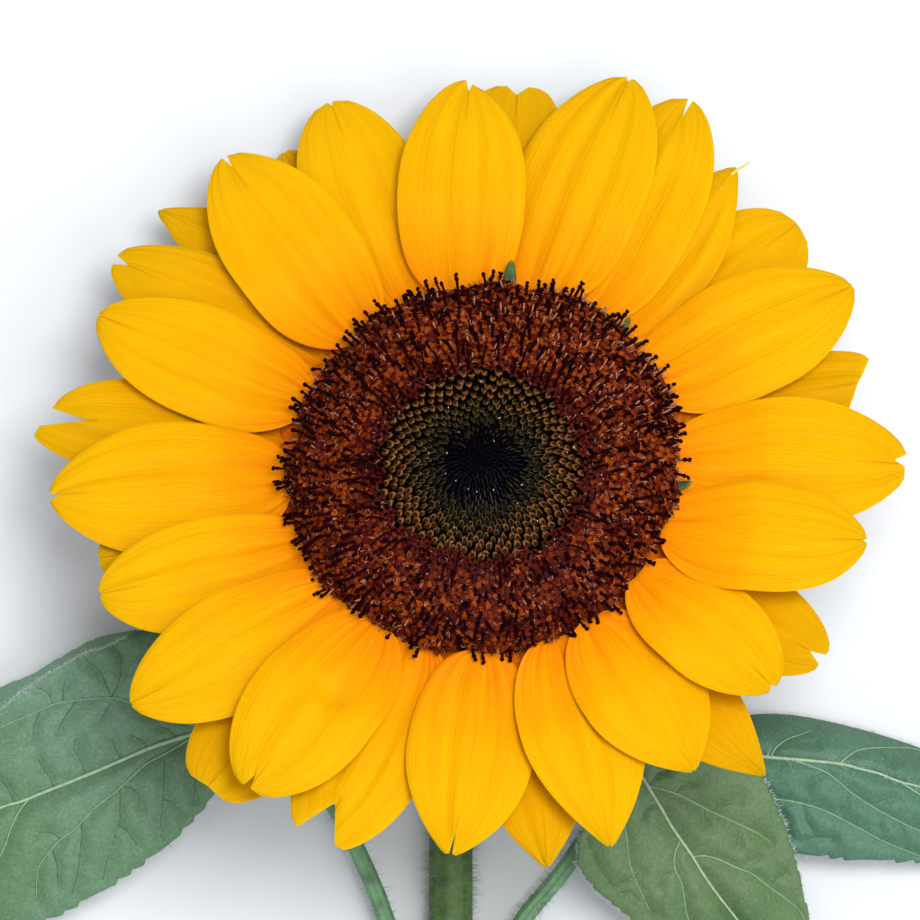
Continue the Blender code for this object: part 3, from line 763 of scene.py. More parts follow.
def make_columns(at, turn, radius, lean):
    """Dark anther columns, each ending in two stubby style arms that curl back."""
    n = len(radius)
    young = radius < 25.0
    odds = np.where(young, 0.42, np.interp(radius, [25, 30, 37, 39], [0.6, 0.62, 0.68, 0.85]))
    shown = rng.random(n) < np.where(radius > DISC_RADIUS + 0.3, 0.3, odds)
    length = np.where(young, rng.uniform(3.5, 7.0, n), rng.uniform(1.9, 3.2, n))
    length += 0.6 * smooth((radius - 36.0) / 3.0)
    bow_out = np.where(young, 58.0, np.interp(radius, [25, 34, 39], [46, 38, 18]))
    tip_lean = lean + np.radians(bow_out) + rng.normal(0, 0.24, n)
    tip_lean = np.minimum(tip_lean, np.radians(96.0))
    frames = leaning(turn + rng.normal(0, 0.2, n), tip_lean, rng.uniform(0, 2 * math.pi, n))
    foot = at - frames[:, 2] * 0.5 + np.array([0, 0, 0.25])
    steps = np.array([0.0, 0.35, 0.7, 0.79, 0.9, 1.0])
    bow = steps * (1 - steps) * 4
    paths = foot[:, None] + spread(frames[:, 2], length[:, None] * steps)
    paths = paths + spread(frames[:, 0], rng.normal(0, 0.14, (n, 1)) * bow)
    paths[:, :, 2] += np.where(young, 0.24, 0.0)[:, None] * length[:, None] * bow
    slim, stout = [0.24, 0.26, 0.28, 0.30, 0.27, 0.1], [0.26, 0.30, 0.28, 0.44, 0.47, 0.16]
    widths = np.where(young[:, None], slim, stout) * rng.uniform(0.85, 1.12, (n, 1))
    heap = Heap()
    heap.tubes(from_head(paths[shown]), widths[shown], 6)
    curled = shown & (rng.random(n) < np.where(young, 0.05, 0.4))
    curl = np.linspace(0.0, 1.0, 5)
    for way in (-1.0, 1.0):
        size = rng.uniform(0.22, 0.4, n)[:, None]
        angle = rng.uniform(1.3, 2.5, n)[:, None] * curl
        arm = (
            paths[:, -1:]
            + spread(frames[:, 0], way * size * (1 - np.cos(angle)))
            + spread(frames[:, 2], size * np.sin(angle) + 0.05)
            + frames[:, None, 1] * (way * 0.1 * curl)[:, None]
        )
        heap.tubes(from_head(arm[curled]), [0.2, 0.26, 0.36, 0.42, 0.2], 6)
    dark = plain_material("anther columns", (0.011, 0.0009, 0.002), 0.6, 0.015, 0.4, 2500)
    heap.make("disc_anthers", [dark], "disc florets")


def make_filaments(at, frames, young):
    """Pale and red threads between the open florets, and pale tubes crowded towards the upper right as
    painted light.
    """
    heap = Heap()
    for layer in range(4):
        kept = rng.random(len(at)) < (0.45 if layer == 0 else 0.7) * (1.0 - 0.6 * young)
        place, axes = at[kept], frames[kept]
        n = len(place)
        angle = rng.uniform(0, 2 * math.pi, n)[:, None]
        outward = axes[:, 0] * np.cos(angle) + axes[:, 1] * np.sin(angle)
        sideways = axes[:, 1] * np.cos(angle) - axes[:, 0] * np.sin(angle)
        start = place + outward * 0.5 + axes[:, 2] * rng.uniform(0.0, 0.5, n)[:, None]
        reach = rng.uniform(0.5, 1.3, n)[:, None]
        rise = rng.uniform(0.1, 0.8, n)[:, None]
        sway = sideways * rng.normal(0, 0.5, (n, 1))
        middle = start + outward * reach * 0.5 + axes[:, 2] * rise + sway * 0.6
        end = start + outward * reach + axes[:, 2] * rise * 0.6 - sway * 0.2
        paths = np.stack([start, (start + middle * 2) / 3 + sway * 0.1, middle, end], axis=1)
        heap.tubes(from_head(paths), np.array([0.08, 0.08, 0.07, 0.05]), 3, layer // 2)
    # Pale tubes crowd towards bearing 48 degrees, the upper right: painted light.
    bearing = np.degrees(np.arctan2(at[:, 0], at[:, 1]))
    lit = np.exp(-(((bearing - 48.0) / 34.0) ** 2))
    chosen = rng.random(len(at)) < (0.14 + 0.75 * lit) * (1.0 - young)
    place, axes = at[chosen], frames[chosen]
    n = len(place)
    out = unit(place * [1, 1, 0])
    way = unit(axes[:, 2] + out * 0.8 + rng.normal(0, 0.2, (n, 3)))
    start = place + axes[:, 0] * rng.normal(0, 0.6, (n, 1)) + way * 0.2
    far = rng.uniform(1.0, 2.0, (n, 1))
    paths = start[:, None] + spread(way, far * [0.0, 0.5, 1.0])
    heap.tubes(from_head(paths), np.array([0.20, 0.22, 0.16]), 5, 2)
    finishes = [
        plain_material("filaments", (0.42, 0.19, 0.10), 0.5, 0.3, 0.3, 2500),
        plain_material("floret threads", (0.16, 0.018, 0.008), 0.5, 0.2, 0.3, 2500),
        plain_material("pale tubes", (0.30, 0.115, 0.065), 0.5, 0.2, 0.4, 2500),
    ]
    heap.make("disc_filaments", finishes, "disc florets")


def make_buds(at, turn, radius):
    """Closed buds under pointed hoods, golden brown outside and olive and longer inside."""
    n = len(radius)
    size = np.sqrt(floret_room(radius) / 4.0)
    lean = np.radians(np.interp(radius, [8, 14, 20], [-32, -14, 4]) + rng.normal(0, 5, n))
    frames = leaning(turn, lean, rng.normal(0.0, 0.12, n))
    size = size * rng.uniform(0.82, 1.06, n)
    at = at + rng.normal(0, 0.16, (n, 3))
    core = [(0.50, -2.2), (0.88, -0.95), (0.74, -0.46), (0.34, -0.22)]
    band = np.digitize(radius + rng.normal(0, 1.3, n), [10.5, 14.8])
    heap = Heap()
    core = turned(core, 8, -0.75, [0, 1, 1, 0])
    heap.copies(core, from_head(at), frames @ HEAD_FRAME, size, 3 * band)
    half = np.array([(-0.46, 0.78, -0.85), (-0.72, 0.30, -0.30), (-0.60, -0.22, 0.04),
                     (-0.28, -0.58, 0.2)])
    hood = np.concatenate([half, [(0.0, -0.80, 0.22)], half[::-1] * [-1, 1, 1]])
    shape = np.repeat(hood[None], n, axis=0) * size[:, None, None]
    stretch = np.interp(radius, [8, 13, 17], [1.9, 1.35, 1.0])[:, None]
    shape[:, :, 1] *= np.where(shape[:, :, 1] > 0, stretch, 1.0)
    shape += rng.normal(0, 0.1, shape.shape)
    paths = at[:, None] + np.einsum("npk,nkj->npj", shape, frames)
    thick = np.array([0.07, 0.12, 0.22, 0.32, 0.38, 0.32, 0.22, 0.12, 0.07])
    share = np.interp(radius, [8, 13, 17], [0.34, 0.72, 1.0]) * size * 1.12
    thick = thick * share[:, None]
    for k in range(3):
        heap.tubes(from_head(paths[band == k]), thick[band == k], 6, 3 * k + 2)
    foot = [(0.010, 0.005, 0.003)] * 3
    core = [(0.003, 0.003, 0.004), (0.006, 0.004, 0.002), (0.028, 0.010, 0.002)]
    hood = [(0.026, 0.022, 0.004), (0.070, 0.038, 0.005), (0.138, 0.049, 0.008)]
    finishes = banded(
        ("bud foot", foot, 0.7, 0.1, 0.3, 2500), ("bud core", core, 0.5, 0.03, 0.3, 2500),
        ("bud hood", hood, 0.45, 0.2, 0.6, 2000),
    )
    heap.make("disc_buds", finishes, "disc florets")


def make_spikes(radius, turn):
    """Narrow chaff scales that lean in over the heart and stand between the inner buds."""
    heap = Heap()
    r = radius[radius < 13.0]
    a = turn[radius < 13.0] + GOLDEN_ANGLE / 55.0
    n = len(r)
    at = clock(r, a, disc_height(r) - 0.5) + rng.normal(0, 0.08, (n, 3))
    lean = np.radians(np.interp(r, [0, 4, 8, 13], [-10, -38, -46, -30]) + rng.normal(0, 8, n))
    frames = leaning(a, lean, rng.normal(0, 0.15, n))
    length = np.interp(r, [0, 3, 8, 13], [1.0, 1.5, 1.7, 1.1]) * rng.uniform(0.75, 1.25, n)
    steps = np.array([0.0, 0.4, 0.75, 1.0])
    paths = at[:, None] + spread(frames[:, 2], length[:, None] * steps)
    band = np.digitize(r + rng.normal(0, 1.0, n), [7.6, 11.0])
    for k in range(3):
        heap.tubes(from_head(paths[band == k]), np.array([0.3, 0.26, 0.15, 0.03]), 4, k)
    finishes = [
        plain_material("heart scales", (0.0012, 0.0018, 0.0050), 0.35, 0.15, 0.4, 2500),
        plain_material("olive scales", (0.015, 0.014, 0.005), 0.45, 0.2, 0.4, 2500),
        plain_material("bud scales", (0.008, 0.006, 0.002), 0.5, 0.1, 0.4, 2500),
    ]
    heap.make("disc_scales", finishes, "disc florets")


def make_specks(spot, radius):
    """A few tiny pale grains of pollen on the buds and florets."""
    chosen = spot[(rng.random(len(spot)) < 0.035) & (radius > 5.0)]
    start = chosen + rng.normal(0, 0.4, chosen.shape) * [1, 1, 0] + [0, 0, 0.35]
    paths = np.stack([start, start + rng.normal(0, 0.08, start.shape), start + 0.1], axis=1)
    heap = Heap()
    heap.tubes(from_head(paths), np.array([0.07, 0.1, 0.07]), 4)
    grain = plain_material("pollen", (0.75, 0.72, 0.6), 0.4, 0.5, 0.1, 2500)
    heap.make("disc_pollen", [grain], "disc florets")


def bezier(points, t):
    a, b, c, d = [np.array(p, float) for p in points]
    t = np.asarray(t)[..., None]
    place = a * (1 - t) ** 3 + b * 3 * t * (1 - t) ** 2 + c * 3 * t * t * (1 - t) + d * t ** 3
    ahead = (b - a) * (1 - t) ** 2 + (c - b) * 2 * t * (1 - t) + (d - c) * t * t
    return place, unit(ahead)


def beside_head(places):
    """World millimetres from places beside and below the head and above the surface."""
    return np.array([(HEAD[0] + x, HEAD[1] + y, z) for x, y, z in places])


def leaf_share(t, widest, shoulder):
    near = 0.07 + 0.93 * (1.0 - (1.0 - np.clip(t / widest, 0, 1)) ** 2.1) ** shoulder
    far = np.clip((t - widest) / (1.0 - widest), 0, 1)
    return np.where(t < widest, near, 0.03 + 0.97 * (1.0 - far ** 2.0))


def leaf_surface(leaf, t, s):
    """Middle surface of a leaf blade in world millimetres."""
    centre, ahead = bezier(beside_head(leaf["midrib"]), t)
    level = unit(np.stack([ahead[..., 1], -ahead[..., 0], 0.0 * ahead[..., 0]], axis=-1))
    sides = []
    for width, arch, drop, shoulder, trims in (leaf["left"], leaf["right"]):
        share = leaf_share(t, leaf["widest"], shoulder)
        share = share * np.interp(t, [0.1, 0.27, 0.4, 0.5, 0.7, 0.95], trims)
        height = (4 * arch * np.abs(s) * (1 - np.abs(s)) - drop * s * s) * share
        sides.append((width * share, height))
    width, height = (np.where(s > 0, right, left) for left, right in zip(*sides))
    size = np.where(s > 0, leaf["teeth"][1], leaf["teeth"][0])
    phase = (t * leaf["tooth_count"] + 0.35 * np.sin(t * 40.0)) % 1.0
    teeth = size * (1.0 - phase ** 1.6) * smooth(t * 8) * (t < 0.97)
    reach = width * s + np.sign(s) * (teeth - size * 0.6) * np.abs(s) ** 14
    place = centre + level * reach[..., None]
    place[..., 2] += height
    return place


# Lines seen in the photograph, from the head's centre in millimetres: x and y by turns.
LEAVES = [
    dict(
        name="leaf_left", rib=0.52, widest=0.5, teeth=(0.9, 0.3), tooth_count=19,
        left=(25.0, 2.0, 3.0, 0.95, (1, 1, 1.03, 1.1, 1.15, 1.1)),
        right=(25.5, 0.0, 4.0, 0.25, (1.15, 1.07, 0.87, 0.81, 0.86, 1)),
        midrib=[(-48.4, -52.7, 12.0), (-75.0, -57.0, 17.0), (-115.0, -69.0, 14.0),
         (-150.0, -82.0, 0.9)],
        midrib_seen=[[-50.4, -53.9, -56, -55.6, -62, -57.6, -68, -60.2, -75, -63.2, -82, -66,
         -88, -68.4, -92, -69.6, -104, -74.8, -116, -80.4, -134, -88]],
        main_veins=[
            [-50.8, -53.8, -59, -51.2, -66, -48.6, -69.6, -47.6, -76, -48, -81, -48.8, -85, -50.6,
             -92, -53.6, -102, -60.4, -114, -69],
            [-52.4, -54.6, -55, -56.4, -59, -58.8, -63, -61, -68, -65.6, -73, -69.6, -77, -73.8,
             -80, -76, -83.6, -80.2, -84.6, -83, -84.8, -88],
            [-86.4, -68, -88, -70, -89.6, -73, -91.4, -78, -94.8, -84, -98, -89.2],
            [-98, -72.2, -101, -78, -108, -86, -114, -90.4],
            [-104, -74.8, -110, -75, -120, -78],
        ],
        small_veins=[
            [-69.8, -47.4, -68.4, -44.8, -67.8, -42, -68, -39, -69.6, -37],
            [-70, -47, -71.2, -44, -72.6, -41.6, -74.8, -40],
            [-81.4, -48.8, -82.2, -47, -83.2, -46, -84.4, -45.6],
            [-79.4, -48.6, -79.4, -46, -78.8, -43.6],
            [-77, -48.4, -79, -51.4, -80.6, -54.2],
            [-84, -50.2, -85.2, -53, -85.4, -55],
            [-69, -47.8, -71, -50.4, -72, -52.4],
            [-75, -63, -75.8, -60.6, -77.2, -57.6, -76.8, -55.6],
            [-67.8, -60, -69, -57.6, -69.8, -55.6],
            [-62.6, -57.8, -63.4, -56.4, -66, -55],
            [-81.4, -65.8, -82, -63.6, -83.2, -62, -84.4, -59.6],
            [-89.2, -68.8, -90, -66.6, -91.4, -64.6, -93.6, -63],
            [-56.6, -55.8, -58, -54.2, -60, -53.4],
            [-59, -58.8, -59.2, -62, -59.4, -68, -60, -74],
            [-68, -65.6, -68, -70, -68.2, -73, -70.6, -80.4, -71.4, -84],
            [-67.6, -65.4, -65.6, -65.8, -64.2, -67.4, -64, -69.2],
            [-75.6, -72.6, -75.8, -77, -76.4, -82, -77.6, -87],
            [-81.4, -78.2, -80.6, -81, -80.4, -85],
            [-79.8, -76, -81.6, -74.6, -84.4, -74.4],
            [-59.2, -68, -57.6, -68.6, -55.2, -71],
            [-68.2, -73.2, -66.4, -74.4, -64.6, -77],
            [-54, -56, -53.4, -61, -53, -65, -53.4, -68.4],
            [-60, -75, -58.8, -76.4, -57.6, -77.4],
        ],
        crest=[-66.5, -35.2, -71, -37.4, -75, -38.6, -78.4, -40.6, -83, -43.2, -88, -46.6,
         -92, -50, -104, -59],
        bristles="crest",
    ),
    dict(
        name="leaf_right_front", rib=0.4, widest=0.33, teeth=(0.4, 0.5), tooth_count=21,
        left=(21.0, 0.0, 2.5, 0.95, (1, 1, 1, 1, 1, 1)),
        right=(19.0, 0.0, 1.5, 0.95, (1.08, 1.08, 1.05, 1, 1, 1)),
        midrib=[(28.4, -58.3, 20.5), (36.0, -64.5, 22.0), (50.0, -88.0, 18.0),
         (71.0, -118.0, 0.9)],
        midrib_seen=[[36.2, -63, 40, -69.2, 42.4, -73.4, 46, -78.6, 49, -83.4, 52, -87.6,
         56.2, -93, 63, -103, 71, -116]],
        main_veins=[
            [37.6, -65.2, 40, -65.8, 43.4, -66.8, 47, -68.6, 50.4, -70.4, 54.4, -72.2,
             59.4, -74.6, 62, -76.4],
            [46.6, -79.4, 49, -79.2, 52, -80, 55.4, -81.6, 58.4, -82.8, 61.6, -85.2, 67.2, -89.4,
             69.2, -92.4],
            [44.2, -76, 43.2, -78, 42.8, -80.4, 43.2, -82.4, 44.4, -85, 45.4, -91, 48, -98],
            [36.2, -63.2, 32.4, -68, 33.4, -76, 34.2, -81.6, 38, -90.4],
        ],
        small_veins=[
            [38, -65, 39.6, -62.8, 41.6, -62],
            [43.4, -66.6, 44.6, -65.2, 46.6, -64.6],
            [50.4, -70.4, 52.6, -68.6, 55.6, -67.6],
            [43, -82.4, 41.6, -82.6, 40.4, -83.6, 40, -85.2],
            [25.6, -75.6, 26.6, -79, 28, -81.6, 30.4, -85.2],
            [30.4, -85.2, 33.2, -84, 36, -82.4],
            [36, -88, 34, -86.4, 32.4, -86.6],
            [56, -81.8, 57.6, -80.4, 59.4, -79.6],
            [54.4, -72.2, 55.6, -74.4, 55.4, -77],
            [39.6, -68.8, 37.6, -69.6, 36.8, -71],
            [49, -70.4, 49.4, -72.4],
            [62, -85.4, 63.6, -83.6, 65.2, -82.6],
        ],
        crest=None,
        bristles="left margin",
    ),
    dict(
        name="leaf_right_back", rib=0.42, widest=0.35, teeth=(0.1, 0.9), tooth_count=14,
        left=(9.0, 0.0, 12.0, 0.95, (1, 1, 1, 1, 1, 1)),
        right=(18.5, 0.0, 4.0, 0.95, (1, 1, 1, 1, 1, 1)),
        midrib=[(43.0, -54.6, 9.0), (60.0, -57.0, 16.0), (95.0, -62.0, 15.0),
         (131.0, -77.0, 0.9)],
        midrib_seen=[[58.2, -59.2, 63, -59.6, 68, -60, 76, -60.8, 80, -61.8, 84, -62.8, 88, -64.4,
         92, -65.4, 104, -69.2, 128, -78]],
        main_veins=[
            [62.2, -59.6, 63.2, -57.6, 65.6, -55.8, 68, -55, 70.4, -54],
            [76, -60.8, 78, -59, 80, -58, 83, -57.6, 87, -57.6, 91, -57.8, 98, -60],
            [66, -59.8, 70, -61.2, 73.4, -62.6, 76, -64.6, 78.6, -66.8, 85, -70.8, 92, -74.2,
             102, -78],
            [58.4, -64, 60.6, -67, 63, -67.8, 67, -68.4, 72.6, -70, 78.6, -73, 85, -76.4,
             92, -79.2],
            [88, -64.4, 94, -68, 102, -71, 110, -75],
        ],
        small_veins=[
            [68.8, -69, 69.4, -72, 70.6, -74],
            [63, -67.8, 64.8, -71, 66, -75],
            [78.6, -66.8, 77.2, -68.4, 76, -70.4],
            [85, -70.8, 84, -73.6],
            [73, -62.6, 70.4, -63.6, 68.8, -65.2],
            [88, -72.4, 89, -74.8, 88.4, -77],
            [68, -76.2, 71, -75.4, 74, -75.6],
            [82, -69.2, 84.8, -68, 87.4, -67],
            [65.6, -55.8, 68, -56.8, 71, -57],
            [82, -57.6, 84.8, -59.2, 86, -60.8],
        ],
        crest=None,
        bristles="midrib",
    ),
]


def through(places, steps):
    """Smooth path through a few places."""
    ends = np.concatenate([[places[0] * 2 - places[1]], places, [places[-1] * 2 - places[-2]]])
    path = []
    for a, b, c, d in zip(ends, ends[1:], ends[2:], ends[3:]):
        for t in np.arange(steps) / steps:
            bow = (a * 2 - b * 5 + c * 4 - d) * t * t
            turn = (b * 3 - a - c * 3 + d) * t ** 3
            path.append((b * 2 + (c - a) * t + bow + turn) / 2)
    return np.array(path + [places[-1]])


def on_leaf(surface, seen, steps):
    """World path of a line seen in the photograph, laid on a leaf's surface."""
    flat = surface.reshape(-1, 3)
    fine = through(np.array(seen, float).reshape(-1, 2), steps)
    height = np.full(len(fine), flat[:, 2].mean())
    for _ in range(3):
        scale = (HEAD[2] + CAMERA_HEIGHT - height) / CAMERA_HEIGHT
        place = HEAD[:2] + CAMERA_ASIDE + fine * scale[:, None]
        gap = np.linalg.norm(flat[None, :, :2] - place[:, None], axis=-1)
        near = np.argsort(gap, axis=1)[:, :3]
        height = flat[near, 2].mean(axis=1)
    inside = gap.min(axis=1) < 1.1
    return np.concatenate([place, height[:, None]], axis=1)[inside]


def leaf_veins(leaf, surface):
    """The midrib, the main and the small veins as paths with their radii and kinds."""
    lines = []
    for kind, steps, thick, thin in (
        ("midrib_seen", 8, leaf["rib"], 0.2), ("main_veins", 6, 0.24, 0.11),
        ("small_veins", 6, 0.11, 0.06),
    ):
        for seen in leaf[kind]:
            path = on_leaf(surface, seen, steps)
            if len(path) > 3:
                lines.append((path, np.linspace(thick, thin, len(path)), kind))
    return lines


def pucker(t, s, surface, lines):
    """Puffs the blade up between its veins and sinks it along the midrib."""
    nearest = np.full(t.shape, 9.0)
    for path, _, kind in lines:
        away = surface[:, :, None, :2] - path[None, None, :, :2]
        gap = np.linalg.norm(away, axis=-1).min(axis=2)
        nearest = np.minimum(nearest, gap if kind != "small_veins" else gap * 1.1 + 0.15)
        if kind == "midrib_seen":
            middle = gap
    x, y = surface[..., 0], surface[..., 1]
    puff = LEAF_PUFF * (1.0 - np.exp(-((nearest / 2.2) ** 1.2)))
    puff += 0.08 * np.sin(x * 1.3 + 2 * np.sin(y * 0.7)) * smooth(nearest)
    puff += 0.06 * np.sin(y * 1.7 + x * 0.9) * smooth(nearest)
    puff -= 0.5 * np.exp(-((middle / 2.2) ** 2))
    edge = np.clip((1 - np.abs(s)) * 7, 0, 1) * np.clip(t * 12, 0, 1) * np.clip((1 - t) * 12, 0, 1)
    surface[..., 2] += (puff - LEAF_PUFF / 2) * edge


def fold_crest(t, surface, seen):
    """Raises a crest across the blade and lets it fall beyond; gives the crest's path."""
    crest = on_leaf(surface, seen, 8)
    away = surface[:, :, None, :2] - crest[None, None, :, :2]
    gap = np.linalg.norm(away, axis=-1)
    which = gap.argmin(axis=2)
    gap = gap.min(axis=2)
    beyond = np.take_along_axis(away[..., 1], which[..., None], axis=2)[..., 0] > 0
    from_foot = np.clip(t * 9, 0, 1)
    surface[..., 2] += CREST_RISE * np.exp(-((gap / 3.0) ** 2)) * from_foot
    surface[..., 2] -= np.where(beyond, CREST_FALL * gap, 0.0) * from_foot
    return crest


def rest_on(surface, path, radii, rise):
    """A path set at the height of the surface under it, raised by a share of its radius."""
    flat = surface.reshape(-1, 3)
    gap = np.linalg.norm(flat[None, :, :2] - path[:, None, :2], axis=-1)
    near = np.argsort(gap, axis=1)[:, :4]
    height = flat[near, 2].max(axis=1) * 0.6 + flat[near, 2].mean(axis=1) * 0.4
    height = np.convolve(np.pad(height, 1, mode="edge"), [0.25, 0.5, 0.25], mode="valid")
    place = path.copy()
    place[:, 2] = np.maximum(height + radii * rise + LEAF_THICKNESS / 2, radii + 0.1)
    return place


def make_leaf(leaf, blade, vein, down):
    """One leaf: its blade, its raised veins and its hairs."""
    t, s = blade_grid(151, 75, 0.3)
    surface = leaf_surface(leaf, t, s)
    lines = leaf_veins(leaf, surface)
    pucker(t, s, surface, lines)
    crest = fold_crest(t, surface, leaf["crest"]) if leaf["crest"] else None
    surface[..., 2] = np.maximum(surface[..., 2], LEAF_THICKNESS / 2 + 0.1)
    points, quads, border, _ = lens(surface, LEAF_THICKNESS)
    name = leaf["name"]
    add_piece(name + "_blade", points, [quads], [blade], "leaves", name, border=border)
    heap = Heap()
    for path, radii, kind in lines:
        tint, rise = dict(midrib_seen=(0, 0.25), main_veins=(1, 0.1), small_veins=(3, -0.6))[kind]
        heap.tubes(rest_on(surface, path, radii, rise)[None], radii, 6, tint)
    if crest is not None:
        # A band along the crest in the pale fold finish: painted reflection of the sky.
        radii = np.full(len(crest), 0.26)
        heap.tubes(rest_on(surface, crest, radii, -0.2)[None], radii, 8, 2)
    heap.make(name + "_veins", vein, "leaves")
    leaf_hairs(leaf, surface, lines[0][0], crest, down)


def leaf_hairs(leaf, surface, midrib, crest, down):
    """Down on the blade, short hairs on the margins and longer ones on the raised lines."""
    rows, columns = surface.shape[:2]
    row = rng.integers(3, rows - 3, DOWN_HAIRS)
    column = rng.integers(1, columns - 1, DOWN_HAIRS)
    margin = rng.random(DOWN_HAIRS) < 0.24
    column = np.where(margin, np.where(rng.random(DOWN_HAIRS) < 0.5, 0, columns - 1), column)
    inner = np.where(column == 0, 2, np.where(column == columns - 1, columns - 3, column))
    roots = surface[row, column] + rng.normal(0, 0.15, (DOWN_HAIRS, 3)) * [1, 1, 0]
    outward = unit(surface[row, column] - surface[row, inner] + 1e-6)
    push = np.where(margin, 1.0, 0.0)[:, None]
    directions = unit(outward * push + rng.normal(0, 0.5, (DOWN_HAIRS, 3)) + [0.0, 0.0, 0.8])
    lengths = np.where(margin, 0.9, 0.5) * rng.uniform(0.5, 1.3, DOWN_HAIRS)
    hairs(leaf["name"] + "_down", "leaves", roots, directions, lengths, 0.04, 0.25, down)

    line, count, length, side = {
        "crest": (crest, 950, 1.0, 0.0),
        "midrib": (midrib[:90], 110, 2.3, 0.0),
        "left margin": (surface[18:130, 0], 150, 1.1, 1.0),
    }[leaf["bristles"]]
    at = rng.uniform(0, len(line) - 1.01, count)
    low = at.astype(int)
    step = line[low + 1] - line[low]
    roots = line[low] + step * (at - low)[:, None]
    flat = surface.reshape(-1, 3)
    near = np.linalg.norm(flat[None, :, :2] - roots[:, None, :2], axis=-1)
    roots[:, 2] = flat[near.argmin(axis=1), 2] + LEAF_THICKNESS / 2
    ahead = unit(step)
    across = np.stack([-ahead[:, 1], ahead[:, 0], 0 * ahead[:, 0]], axis=-1)
    across *= np.sign(across[:, 1:2])
    directions = unit(across * side + rng.normal(0, 0.3, (count, 3)) + [0.0, 0.05, 0.8])
    lengths = length * rng.uniform(0.5, 1.2, count)
    hairs(leaf["name"] + "_bristles", "leaves", roots, directions, lengths, 0.045, 0.2, down)


def make_stalk(name, path, radii, ribs, groove, finish, count, length, down):
    """Ribbed stalk along a path, grooved along its upper side, with hairs all round it."""
    sides = 72
    along = unit(np.gradient(path, axis=0))
    across = unit(np.cross(along, np.array([0.0, 0.0, 1.0]) + 0.001 * along))
    other = np.cross(across, along)
    turn = circle(sides)
    shape = 1.0 + ribs * np.cos(9 * turn) + 0.4 * ribs * np.cos(14 * turn + 1.0)
    upper = np.angle(np.exp(1j * (turn - math.pi / 2)))
    shape = (shape - groove * np.exp(-((upper / 0.3) ** 2))) / (1.0 + 1.4 * ribs)
    ring = across[:, None] * np.cos(turn)[:, None] + other[:, None] * np.sin(turn)[:, None]
    points = path[:, None] + ring * (radii[:, None] * shape)[:, :, None]
    points = np.concatenate([points.reshape(-1, 3), path[:1], path[-1:]])
    size = len(path) * sides
    ends = [fan(0, sides, size)[:, ::-1], fan(size - sides, sides, size + 1)]
    faces = [grid_quads(len(path), sides, closed=True), np.concatenate(ends)]
    add_piece(name + "_skin", points, faces, [finish], "stem", name)

    at = rng.uniform(0.5, len(path) - 1.5, count)
    low = at.astype(int)
    part = (at - low)[:, None]
    turn = rng.uniform(0, 2 * math.pi, count)[:, None]
    outward = unit(across[low] * np.cos(turn) + other[low] * np.sin(turn))
    middle = path[low] * (1 - part) + path[low + 1] * part
    roots = middle + outward * (radii[low] * 0.94)[:, None]
    directions = unit(outward + rng.normal(0, 0.3, (count, 3)) - 0.1 * along[low])
    lengths = length * rng.uniform(0.4, 1.15, count)
    hairs(name + "_hairs", "stem", roots, directions, lengths, 0.042, 0.16, down)


def stem_path():
    """The stem from the cup, round the bend of its neck and along the surface, and its radii."""
    start = HEAD - FACE_AXIS * (CUP_DEPTH + SEAT_GAP)
    path = [start]
    start = start - FACE_AXIS * NECK_STRAIGHT
    turn = math.pi / 2 - FACE_TILT
    for i in range(25):
        left = turn * (1 - i / 24)
        back = NECK_BEND_RADIUS * (math.sin(turn) - math.sin(left))
        drop = NECK_BEND_RADIUS * (math.cos(left) - math.cos(turn))
        path.append(start + np.array([0.0, -back, -drop]))
    bend = path[-1]
    radii = list(STEM_TOP_RADIUS + (STEM_RADIUS - STEM_TOP_RADIUS) * smooth(np.arange(26) / 24))
    for i in range(1, 61):
        t = i / 60
        aside = STEM_ASIDE * float(smooth(t / 0.45))
        path.append(bend + np.array([aside, (STEM_CUT_Y - bend[1]) * t, 0.0]))
        radii.append(STEM_RADIUS + (STEM_CUT_RADIUS - STEM_RADIUS) * t)
    return np.array(path), np.array(radii)


PETIOLES = [
    ("petiole_left", [(-11.0, -118.5, 4.9), (-12.4, -118.5, 4.9), (-15.8, -112.5, 5.2),
                      (-19.4, -91.0, 6.0), (-29.7, -68.0, 8.0), (-39.0, -56.0, 10.5),
                      (-46.1, -52.3, 11.6), (-48.06, -52.65, 11.94)]),
    ("petiole_right_front", [(-1.0, -105.5, 4.9), (0.4, -105.5, 4.9), (4.0, -101.0, 5.2),
                             (8.6, -91.0, 7.0), (17.8, -79.4, 9.0), (27.0, -64.0, 12.5),
                             (29.6, -59.3, 17.6), (29.6, -59.3, 19.75)]),
    ("petiole_right_back", [(-0.6, -68.5, 4.9), (0.9, -68.5, 4.9), (5.0, -65.0, 5.0),
                            (20.0, -57.0, 6.0), (40.4, -54.25, 7.9), (42.4, -54.5, 8.75)]),
]


def make_stalks(green, paler, down, pith):
    """The stem, the leaf stalks and the pith in the stem's cut."""
    path, stem_radii = stem_path()
    make_stalk("stem", path, stem_radii, 0.02, 0.0, green, STEM_HAIRS, 2.6, down)
    cut = path[-1]
    for name, places in PETIOLES:
        path = through(beside_head(places), 8)
        radii = np.linspace(PETIOLE_FOOT_RADIUS, PETIOLE_END_RADIUS, len(path))
        make_stalk(name, path, radii, 0.025, 0.22, paler, PETIOLE_HAIRS, 2.0, down)

    # Pale pith that domes slightly out of the stem's straight cut.
    sides = 48
    a = circle(sides)
    rings = []
    for share, out in ((0.86, -0.4), (0.84, 0.03), (0.5, 0.04), (0.02, 0.05)):
        r = stem_radii[-1] * share
        rings.append(cut + np.stack([r * np.cos(a), 0 * a - out + 0.02, r * np.sin(a)], axis=-1))
    quads = grid_quads(len(rings), sides, closed=True)
    add_piece("stem_pith", np.concatenate(rings), [quads], [pith], "stem")


